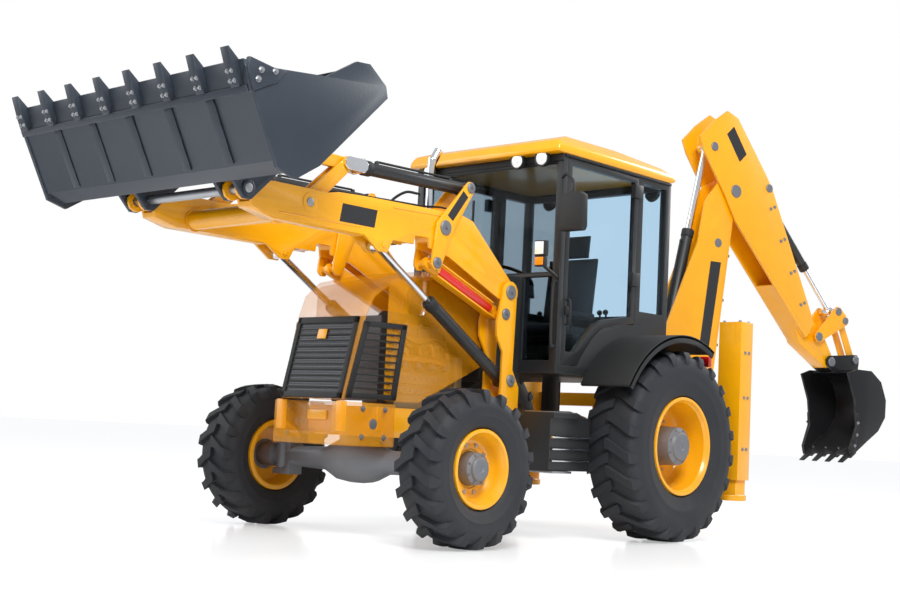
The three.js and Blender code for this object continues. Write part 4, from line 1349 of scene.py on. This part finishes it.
@dataclass
class Underside:
    """The frame, axles, tanks, steps and stabilisers."""

    body: str = "chassis"

    def build(self) -> None:
        """Makes each part's skin and fittings."""
        skin("chassis_frame", YELLOW, 4)
        skin("front_axle", CAST, 8)
        skin("rear_axle", CAST, 8)
        skin("rear_frame", YELLOW, 5)
        skin("fuel_tanks", BLACK, 10)
        for name in ("left", "right"):
            skin(f"knuckle_{name}", CAST, 4)
            skin(f"stabiliser_leg_{name}", YELLOW, 4)
        self._tanks()
        self._axles()
        self._rear_bolts()
        self._tower_pins()

    def _tanks(self) -> None:
        """Makes the step treads, filler cap and the rods along the tank."""
        rods, treads = Shape(), Shape()
        for side in SIDES:
            for z in (560, 640, 720):
                rods.rod((side * 862, -1180, z), (side * 862, -756, z), 9)
            rods.turned(
                [(0, 0), (0, 42), (22, 42), (26, 36), (26, 0)], (side * 700, -830, 860), (0, 0, 1), 28
            )
            for i in range(9):
                y = -1180 + i * 32
                low, high = sorted((side * 612, side * 868))
                treads.box((low, y, 890), (high, y + 14, 897))
            low, high = sorted((side * 560, side * 870))
            treads.box((low, -1170, 474), (high, -960, 489))
        rods.make("tank_rods", CHROME, self.body)
        treads.make("step_treads", STEEL, self.body, 1)

    def _axles(self) -> None:
        """Makes the steering ram, track rods, hub bolts and brake lines."""
        links, bolts = Shape(), Shape()
        y = -2170
        links.rod((-330, y + 150, 520), (330, y + 150, 520), 38, 28)
        links.rod((-560, y + 148, 515), (560, y + 148, 515), 17, 20)
        for side in SIDES:
            links.ball((side * 560, y + 148, 515), 30)
            links.rod((side * 560, y + 148, 515), (side * 640, y + 62, 515), 16)
            for i in range(12):
                turn = math.tau * i / 12
                radial = Vector((0, math.cos(turn), math.sin(turn)))
                bolts.bolt(Vector((side * 152, y, 500)) + radial * 118, (side, 0, 0), 18)
                bolts.bolt(Vector((side * 246, 0, 700)) + radial * 124, (side, 0, 0), 20)
        links.make("steering_ram", CAST, self.body)
        bolts.make("axle_bolts", STEEL, self.body)
        hoses = Shape()
        for side in SIDES:
            hoses.tube(
                flow([(side * 200, y + 150, 560), (side * 230, y + 210, 700), (side * 262, y + 300, 760)]),
                9
            )
            hoses.tube(flow([(side * 700, 90, 740), (side * 450, 120, 820), (side * 340, 160, 790)]), 8)
        hoses.make("axle_hoses", HOSE, self.body)

    def _rear_bolts(self) -> None:
        """Makes the sliding carriage's clamps, and the bolts on the clamps, the legs' caps and the wear
        pads.
        """
        clamps, bolts = Shape(), Shape()
        for side in SIDES:
            for z in (470, 1020):
                low, high = sorted((side * 210, side * 290))
                clamps.box((low, 985.5, z - 22), (high, 1062, z + 100))
                for x in (side * 230, side * 270):
                    for dz in (0, 76):
                        bolts.bolt((x, 1062, z + dz), (0, 1, 0), 22)
            for dx in (-70, 70):
                for y in (815, 940):
                    bolts.bolt((side * 1030 + dx, y, 1690), (0, 0, 1), 22)
            for z in (700, 1100, 1450):
                bolts.bolt((side * 1130, 850, z), (side, 0, 0), 20)
                bolts.bolt((side * 1130, 905, z), (side, 0, 0), 20)
        clamps.make("carriage_clamps", YELLOW, self.body, 4)
        bolts.make("rear_frame_bolts", STEEL, self.body)

    def _tower_pins(self) -> None:
        """Makes the pin heads and their bolts on the loader towers."""
        pins = Shape()
        for side in SIDES:
            for y, z, r in ((-1338, 1707, 50), (-1381, 1551, 40), (-1300, 1095, 42)):
                pins.turned(
                    [(0, 0), (0, r), (8, r), (14, r - 7), (14, 0)], (side * 566, y, z), (side, 0, 0), 28
                )
                pins.bolt((side * 580, y, z), (side, 0, 0), 20)
        pins.make("tower_pin_heads", CAST, self.body)


# ------------------------------------------------------------------ loader


class Loader:
    """The front loader: arms, levers, rams, shovel and hoses."""

    ARM_OUT = 542.0
    TEETH = 8

    def build(self) -> None:
        """Makes each moving part's skin and fittings."""
        skin("loader_arms", YELLOW, 5)
        for name in ("left", "right"):
            skin(f"levelling_lever_{name}", YELLOW, 3)
            skin(f"levelling_link_{name}", YELLOW, 3)
            skin(f"tipping_lever_{name}", YELLOW, 3)
            skin(f"tipping_link_{name}", YELLOW, 3)
            skin(f"lift_barrel_{name}", BLACK, 3)
            skin(f"lift_rod_{name}", CHROME, 2)
            skin(f"bucket_ram_barrel_{name}", BLACK, 3)
            skin(f"bucket_ram_rod_{name}", CHROME, 2)
        for node in ("bucket_hinge_shaft", "tipping_lever_shaft", "bucket_link_shaft"):
            skin(node, STEEL, 3)
        skin("loader_bucket", BUCKET, 4)
        self._struts()
        self._glands()
        self._arm_details()
        self._lever_details()
        self._shovel_details()

    @staticmethod
    def _between(start: Point, end: Point, distance: float, x: float) -> Vector:
        """Returns the point that far from start towards end, both as (y, z)."""
        a, b = Vector((x, *start)), Vector((x, *end))
        return a + (b - a).normalized() * distance

    def _struts(self) -> None:
        """Makes the red strut in each levelling link."""
        foot, lever = (-1381.0, 1551.0), (-2095.0, 1822.0)
        for side, name in ((1, "left"), (-1, "right")):
            strut = Shape()
            strut.rod(
                self._between(foot, lever, 92, side * 478), self._between(foot, lever, 660, side * 478),
                34.5, 28
            )
            strut.make(f"red_strut_{name}", RED, "levelling_links", 2)

    def _glands(self) -> None:
        """Makes the rams' ringed ends and the ports on their barrels."""
        rams = (
            ("lift", "lift_barrels", (-1300.0, 1095.0), (-2574.0, 1880.0), 910.0, 42.0, 24.6),
            ("bucket_ram", "bucket_ram_barrels", (-1800.0, 2368.0), (-2884.0, 2352.0), 940.0, 44.0, 26.6),
        )
        for label, body, base, top, reach, bore, rod in rams:
            for side, name in ((1, "left"), (-1, "right")):
                gland = Shape()
                x = side * 477
                a = self._between(base, top, reach - 66, x)
                axis = self._between(base, top, 10, 0) - self._between(base, top, 0, 0)
                ring = [
                    (0, bore), (0, bore + 6), (58, bore + 6), (62, bore + 2), (66, bore + 2), (66, rod),
                    (60, rod), (60, bore)
                ]
                gland.turned(ring, a, axis, 36, closed=True)
                for at in (120.0, reach - 130):
                    p = self._between(base, top, at, x)
                    gland.rod(p, p + Vector((0, 0, bore + 14)), 15, 16)
                pipe = [
                    self._between(base, top, t, x) + Vector((0, 0, bore + 12)) for t in (
                        130.0, 200.0, reach - 200, reach - 130
                    )
                ]
                gland.tube(pipe, 8, 10)
                gland.make(f"{label}_gland_{name}", TRIM, body, 1)

    def _arm_details(self) -> None:
        """Makes the arms' pin bosses, decals, weld beads, hoses and cross-tube flanges."""
        bosses, decals, hoses, welds = Shape(), Shape(), Shape(), Shape()
        for side in SIDES:
            for y, z, r in ((-1338, 1707, 66), (-3205, 2056, 58), (-3706, 2059, 62), (-2574, 1880, 40)):
                bosses.turned(
                    [(0, r * 0.5), (0, r), (2.6, r), (3.2, r - 3), (3.2, r * 0.5)],
                    (side * self.ARM_OUT, y, z), (side, 0, 0), 32, closed=True
                )
            out = side * (self.ARM_OUT + 0.6)
            decals.slab([(-2960, 1975), (-2660, 1975), (-2640, 2090), (-2940, 2090)], out - side * 0.8, out)
            welds.tube(
                flow([(side * 543, -3440, 1960), (side * 543, -3100, 1962), (side * 543, -2780, 1964)]), 4,
                8
            )
            welds.tube(
                flow([(side * 543, -2500, 2130), (side * 543, -2200, 2138), (side * 543, -1960, 2142)]), 4,
                8
            )
            for shift in (0, 14):
                x = side * (430 - shift)
                hoses.tube(flow([
                    (x, -1420, 1800), (x - side * 14, -1600, 1990), (x - side * 24, -1800, 2215),
                    (x - side * 22, -2150, 2208),
                    (x - side * 20, -2700, 2190), (x - side * 14, -2900, 2180), (x - side * 6, -2960, 2164),
                ]), 7, 12)
        bosses.make("arm_bosses", YELLOW, "lift_arms")
        decals.make("arm_blank_panels", DECAL, "lift_arms")
        welds.make("arm_weld_beads", YELLOW, "lift_arms")
        hoses.make("arm_hoses", HOSE, "lift_arms")
        tube = Shape()
        for side in SIDES:
            tube.turned(
                [(0, 63), (0, 74), (10, 74), (16, 63)], (side * 396, -3345, 1985), (side, 0, 0), 32,
                closed=True
            )
        tube.make("cross_tube_flanges", YELLOW, "lift_arms")

    def _lever_details(self) -> None:
        """Makes the side levers' pin heads and their blank dark panels."""
        heads, panels = Shape(), Shape()
        for side in SIDES:
            for y, z, r in ((-2031, 2064, 50), (-1800, 2368, 36), (-2095, 1822, 38)):
                heads.turned(
                    [(0, 0), (0, r), (8, r), (13, r - 6), (13, 0)], (side * 564, y, z), (side, 0, 0), 28
                )
                heads.bolt((side * 577, y, z), (side, 0, 0), 18)
            out = side * 564.8
            panels.slab([(-2016, 2150), (-1962, 2118), (-1822, 2300), (-1872, 2338)], out - side * 1, out)
        heads.make("lever_pin_heads", CAST, "levelling_levers")
        panels.make("lever_blank_panels", DECAL, "levelling_levers")

    def _shovel_details(self) -> None:
        """Makes the shovel's bolted teeth, wear strips and pin caps."""
        half = 1145.0
        plates, bolts, strips = Shape(SHOVEL), Shape(SHOVEL), Shape(SHOVEL)
        for i in range(self.TEETH):
            x = -1050 + 300 * i
            plates.box((x - 40, 612, -204), (x + 40, 716, -188))
            for forward in (636, 690):
                for dx in (-18, 18):
                    bolts.bolt((x + dx, forward, -188), (0, 0, 1), 20)
                    bolts.bolt((x + dx, forward, -273), (0, 0, -1), 18)
        for x in (-760, -380, 0, 380, 760):
            strips.box((x - 34, 190, -233), (x + 34, 560, -226))
        strips.box((-half + 22, 560, -256), (half - 22, 600, -249))
        for side in SIDES:
            low, high = sorted((side * (half - 2), side * (half + 10)))
            strips.slab(
                [(560, -236), (690, -232), (732, -190), (640, -60), (600, 20), (560, -60)], low, high,
                Axis.X
            )
            for forward, up in ((610, -190), (650, -150), (618, -60)):
                bolts.bolt((side * (half + 10), forward, up), (side, 0, 0), 26)
        plates.make("tooth_clamps", BUCKET, "shovel", 2)
        bolts.make("tooth_bolts", STEEL, "shovel")
        strips.make("shovel_wear_strips", BUCKET, "shovel", 2)
        caps = Shape()
        for side in SIDES:
            for y, z, r in ((-3706, 2059, 46), (-3385, 2355, 40)):
                for face in (572.5,):
                    caps.turned(
                        [(0, 31), (0, r), (5, r), (7, r - 3), (7, 31)], (side * face, y, z), (side, 0, 0),
                        28, closed=True
                    )
        caps.make("shovel_pin_collars", BUCKET, "shovel")


# ------------------------------------------------------------------ digger


class DiggingArm:
    """The slewing digger, from its post to its bucket, drawn as (across, back, up)."""

    def build(self) -> None:
        """Makes each moving part's skin and fittings."""
        for node in ("kingpost", "boom", "dipper", "bell_crank", "crank_link"):
            skin(node, YELLOW, 4)
        for label in ("boom", "dipper", "crowd"):
            skin(f"{label}_ram_barrel", BLACK, 3)
            skin(f"{label}_ram_rod", CHROME, 2)
        skin("backhoe_bucket", DARK_STEEL, 4)
        self._glands()
        self._pins()
        self._boom_details()
        self._dipper_details()
        self._bucket_details()

    @staticmethod
    def _between(start: Point, end: Point, distance: float) -> Vector:
        """Returns the point that far from start towards end, both as (back, up)."""
        a, b = Vector((0, *start)), Vector((0, *end))
        return a + (b - a).normalized() * distance

    def _glands(self) -> None:
        """Makes the three rams' ringed ends, ports and pipes."""
        rams = (
            ("boom_ram", "boom_barrel", (120, 1180), (520, 2500), 1000.0, 50.0, 30.6),
            ("dipper_ram", "dipper_barrel", (40, 1600), (420, 3347), 1020.0, 50.0, 28.6),
            ("crowd_ram", "crowd_barrel", (1087, 3061), (2007, 2019), 900.0, 42.0, 24.6),
        )
        for label, body, base, top, reach, bore, rod in rams:
            gland = Shape(DIGGER)
            axis = self._between(base, top, 1) - self._between(base, top, 0)
            ring = [
                (0, bore), (0, bore + 5), (58, bore + 5), (66, bore + 1), (66, rod), (60, rod), (60, bore)
            ]
            gland.turned(ring, self._between(base, top, reach - 66), axis, 36, closed=True)
            side = axis.cross(Vector((1, 0, 0))) * (-1 if label != "crowd_ram" else 1)
            for at in (110.0, reach - 120):
                p = self._between(base, top, at)
                gland.rod(p, p + side * (bore + 13), 13, 14)
            gland.tube(
                [self._between(base, top, t) + side * (bore + 11) for t in (118.0, reach / 2, reach - 128)],
                7, 10
            )
            gland.make(f"{label}_gland", TRIM, body, 1)

    def _pins(self) -> None:
        """Makes the pin heads at each pivot."""
        sets = (
            ("slew_post", "post_pin_heads", ((350, 900, 130, 56), (120, 1180, 76, 40))),
            (
                "digger_dipper", "dipper_pin_heads",
                ((688, 2981, 126, 58), (420, 3347, 126, 40), (1087, 3061, 126, 38))
            ),
            (
                "bucket_crank", "crank_pin_heads",
                ((1764, 1765, 124, 42), (2007, 2019, 124, 38), (2101, 1939, 124, 34))
            ),
            ("digger_bucket", "digger_bucket_pin_heads", ((1954, 1545, 104, 44), (2265, 1583, 104, 38))),
            ("digger_boom", "boom_pin_heads", ((520, 2500, 100, 40), (40, 1600, 100, 40))),
        )
        for body, name, places in sets:
            heads = Shape(DIGGER)
            for s, z, x, r in places:
                for side in SIDES:
                    deep = 4 if name == "boom_pin_heads" else 10
                    heads.turned(
                        [(0, 0), (0, r), (deep * 0.6, r), (deep, r - 5), (deep, 0)], (side * x, s, z),
                        (side, 0, 0), 28
                    )
            heads.make(name, CAST, body)

    def _boom_details(self) -> None:
        """Makes the boom's blank panels, weld beads, slot plate and hoses."""
        panels, beads, hoses = Shape(DIGGER), Shape(DIGGER), Shape(DIGGER)
        for side in SIDES:
            face = side * 100
            low, high = sorted((face, face + side * 0.8))
            panels.slab([(330, 1500), (440, 1500), (560, 2330), (440, 2330)], low, high)
            beads.tube([(face, 140, 1490), (face, 265, 1010), (face, 300, 900)], 3.5, 8)
            beads.tube([(face, 505, 1430), (face, 672, 2730)], 3.5, 8)
            beads.slab(arc((600, 2960), 26, 0, 360, 18)[:-1], *sorted((face, face + side * 5)))
        panels.make("boom_blank_panels", DECAL, "digger_boom")
        beads.make("boom_weld_beads", YELLOW, "digger_boom")
        for i in range(4):
            x = -54 + i * 36
            hoses.tube(flow([
                (x, 535 + 4, 1480), (x, 560, 1800), (x, 602, 2200), (x, 650, 2560), (x * 0.9, 690, 2706),
            ]), 12, 12)
        for z, s in ((1600, 543), (2000, 594), (2400, 645)):
            hoses.box((-78, s - 6, z - 12), (78, s + 30, z + 12))
        hoses.make("boom_hoses", HOSE, "digger_boom")

    def _dipper_details(self) -> None:
        """Makes the dipper's blank panels, wear-pad bolts and weld lines."""
        panels, bolts, beads = Shape(DIGGER), Shape(DIGGER), Shape(DIGGER)
        foot, head = Vector((0, 1130.0, 3050.0)), Vector((0, 1685.0, 1900.0))
        run = (head - foot).normalized()
        across = Vector((0, -run.z, run.y))
        if across.y > 0:
            across = -across
        for side in SIDES:
            face = side * 126
            for at in (150, 460, 770, 1080):
                for shift in (40, 90):
                    p = foot + run * at + across * shift
                    bolts.bolt((face, p.y, p.z), (side, 0, 0), 22)
            low, high = sorted((face, face + side * 0.8))
            panels.slab([(560, 3480), (640, 3560), (800, 3330), (720, 3250)], low, high)
            beads.tube([(face, 800, 2640), (face, 1560, 1830)], 3.5, 8)
        panels.make("dipper_blank_panels", DECAL, "digger_dipper")
        bolts.make("dipper_bolts", STEEL, "digger_dipper")
        beads.make("dipper_weld_lines", YELLOW, "digger_dipper")

    def _bucket_details(self) -> None:
        """Makes the bucket's tooth shanks and side cutters."""
        fittings, bolts = Shape(DIGGER), Shape(DIGGER)
        for x in (-240, -80, 80, 240):
            fittings.slab([(2100, 742), (2122, 716), (2052, 664), (2030, 690)], x - 36, x + 36)
            bolts.bolt((x, 2100, 752), (0, -0.6, 0.8), 18)
        for side in SIDES:
            low, high = sorted((side * 299, side * 312))
            fittings.slab(
                [
                    (2034, 690), (2062, 700), (2112, 960), (2100, 1080), (2078, 1080), (2088, 965),
                    (2016, 762)
                ],
                low, high
            )
            for s, z in ((2056, 780), (2082, 880), (2092, 990)):
                bolts.bolt((side * 312, s, z), (side, 0, 0), 20)
        fittings.make("digger_bucket_cutters", DARK_STEEL, "digger_bucket", 2)
        bolts.make("digger_bucket_bolts", STEEL, "digger_bucket")


# ------------------------------------------------------------------ floor, light and camera


@dataclass
class Studio:
    """A pale floor, soft light and the viewpoint.

    Attributes:
        eye: The camera, in metres from the rear axle's ground point.
        yaw: Its heading.
        pitch: Its tilt up.
        roll: Its roll.
        lens: Its focal length.
        sensor: The width that the focal length is stated for.
        floor_glow: How much the floor is lifted towards white for the camera.
        world_light: The strength of the even light.
    """

    eye: Point = (6.838, -8.692, 0.719)
    yaw: float = 0.7496
    pitch: float = 0.0944
    roll: float = 0.0503
    lens: float = 55.756
    sensor: float = 36.0
    floor_glow: float = 0.38
    world_light: float = 0.62

    def build(self) -> None:
        """Makes the stage."""
        self._camera()
        self._floor()
        self._world()
        self._lamps()
        bpy.context.scene.view_settings.view_transform = "Standard"

    def _camera(self) -> None:
        """Places the camera."""
        forward = Vector((
            -math.sin(self.yaw) * math.cos(self.pitch),
            math.cos(self.yaw) * math.cos(self.pitch),
            math.sin(self.pitch),
        ))
        right = forward.cross(Vector((0, 0, 1))).normalized()
        up = right.cross(forward)
        rolled_right = right * math.cos(self.roll) + up * math.sin(self.roll)
        rolled_up = up * math.cos(self.roll) - right * math.sin(self.roll)
        camera = bpy.data.objects.new("view", bpy.data.cameras.new("view"))
        camera.data.sensor_width = self.sensor
        camera.data.lens = self.lens
        camera.data.clip_end = 400.0
        turn = Matrix((rolled_right, rolled_up, -forward)).transposed().to_4x4()
        camera.matrix_world = Matrix.Translation(Vector(self.eye) + Vector((0, REAR_AXLE_Y, 0))) @ turn
        bpy.context.scene.collection.objects.link(camera)
        bpy.context.scene.camera = camera

    def _floor(self) -> None:
        """Makes a wide, pale and slightly glossy floor that fades to white for the camera."""
        data = bpy.data.meshes.new("floor")
        reach = 120.0
        data.from_pydata(
            [(-reach, -reach, 0), (reach, -reach, 0), (reach, reach, 0), (-reach, reach, 0)], [],
            [(0, 1, 2, 3)]
        )
        floor = bpy.data.objects.new("floor", data)
        material = bpy.data.materials.new("floor")
        material.use_nodes = True
        shader = material.node_tree.nodes["Principled BSDF"]
        shader.inputs["Base Color"].default_value = (0.90, 0.91, 0.92, 1)
        shader.inputs["Roughness"].default_value = 0.14
        shader.inputs["Specular IOR Level"].default_value = 0.4
        tree = material.node_tree
        path = tree.nodes.new("ShaderNodeLightPath")
        lift = tree.nodes.new("ShaderNodeMath")
        lift.operation = "MULTIPLY"
        lift.inputs[1].default_value = self.floor_glow
        tree.links.new(path.outputs["Is Camera Ray"], lift.inputs[0])
        glow = tree.nodes.new("ShaderNodeEmission")
        glow.inputs["Color"].default_value = (1, 1, 1, 1)
        tree.links.new(lift.outputs[0], glow.inputs["Strength"])
        both = tree.nodes.new("ShaderNodeAddShader")
        tree.links.new(shader.outputs[0], both.inputs[0])
        tree.links.new(glow.outputs[0], both.inputs[1])
        tree.links.new(both.outputs[0], tree.nodes["Material Output"].inputs["Surface"])
        data.materials.append(material)
        bpy.context.scene.collection.objects.link(floor)

    def _world(self) -> None:
        """Makes the even light, white to the camera and through glass."""
        world = bpy.data.worlds.new("studio")
        bpy.context.scene.world = world
        world.use_nodes = True
        tree = world.node_tree
        lit = tree.nodes["Background"]
        lit.inputs["Color"].default_value = (0.97, 0.98, 1.0, 1)
        lit.inputs["Strength"].default_value = self.world_light
        seen = tree.nodes.new("ShaderNodeBackground")
        seen.inputs["Color"].default_value = (1, 1, 1, 1)
        path = tree.nodes.new("ShaderNodeLightPath")
        either = tree.nodes.new("ShaderNodeMath")
        either.operation = "MAXIMUM"
        tree.links.new(path.outputs["Is Camera Ray"], either.inputs[0])
        tree.links.new(path.outputs["Is Transmission Ray"], either.inputs[1])
        mix = tree.nodes.new("ShaderNodeMixShader")
        tree.links.new(either.outputs[0], mix.inputs[0])
        tree.links.new(lit.outputs[0], mix.inputs[1])
        tree.links.new(seen.outputs[0], mix.inputs[2])
        tree.links.new(mix.outputs[0], tree.nodes["World Output"].inputs["Surface"])

    @staticmethod
    def _lamps() -> None:
        """Makes a large soft key, a fill and a rim light."""
        for name, place, size, power in (
            ("key", (7.5, -6.0, 9.0), 5.0, 1150.0),
            ("fill", (-8.0, -8.0, 6.0), 8.0, 380.0),
            ("rim", (2.0, 10.0, 8.0), 6.0, 650.0),
        ):
            lamp = bpy.data.objects.new(name, bpy.data.lights.new(name, "AREA"))
            lamp.data.shape = "DISK"
            lamp.data.size = size
            lamp.data.energy = power
            lamp.location = place
            aim = Vector((0, 0, 1.4)) - Vector(place)
            lamp.rotation_euler = aim.to_track_quat("-Z", "Y").to_euler()
            bpy.context.scene.collection.objects.link(lamp)


def wheels() -> Iterable[Wheel]:
    """Yields the four wheels."""
    for side, name in ((1, "left"), (-1, "right")):
        yield Wheel("front", side, f"front_{name}_wheel", 340, 250, 12, 18, 10, 150)
        yield Wheel("rear", side, f"rear_{name}_wheel", 440, 360, -78, 22, 12, 205)


def main() -> None:
    """Builds the machine's looks in order."""
    assemblies = [
        Studio(), *wheels(), HoodDress(), FrontWeightDress(), EngineBay(), Cab(), Fenders(), Underside(),
        Loader(), DiggingArm(),
    ]
    for assembly in assemblies:
        LOG.info("building %s", type(assembly).__name__)
        assembly.build()


if __name__ == "__main__":
    main()
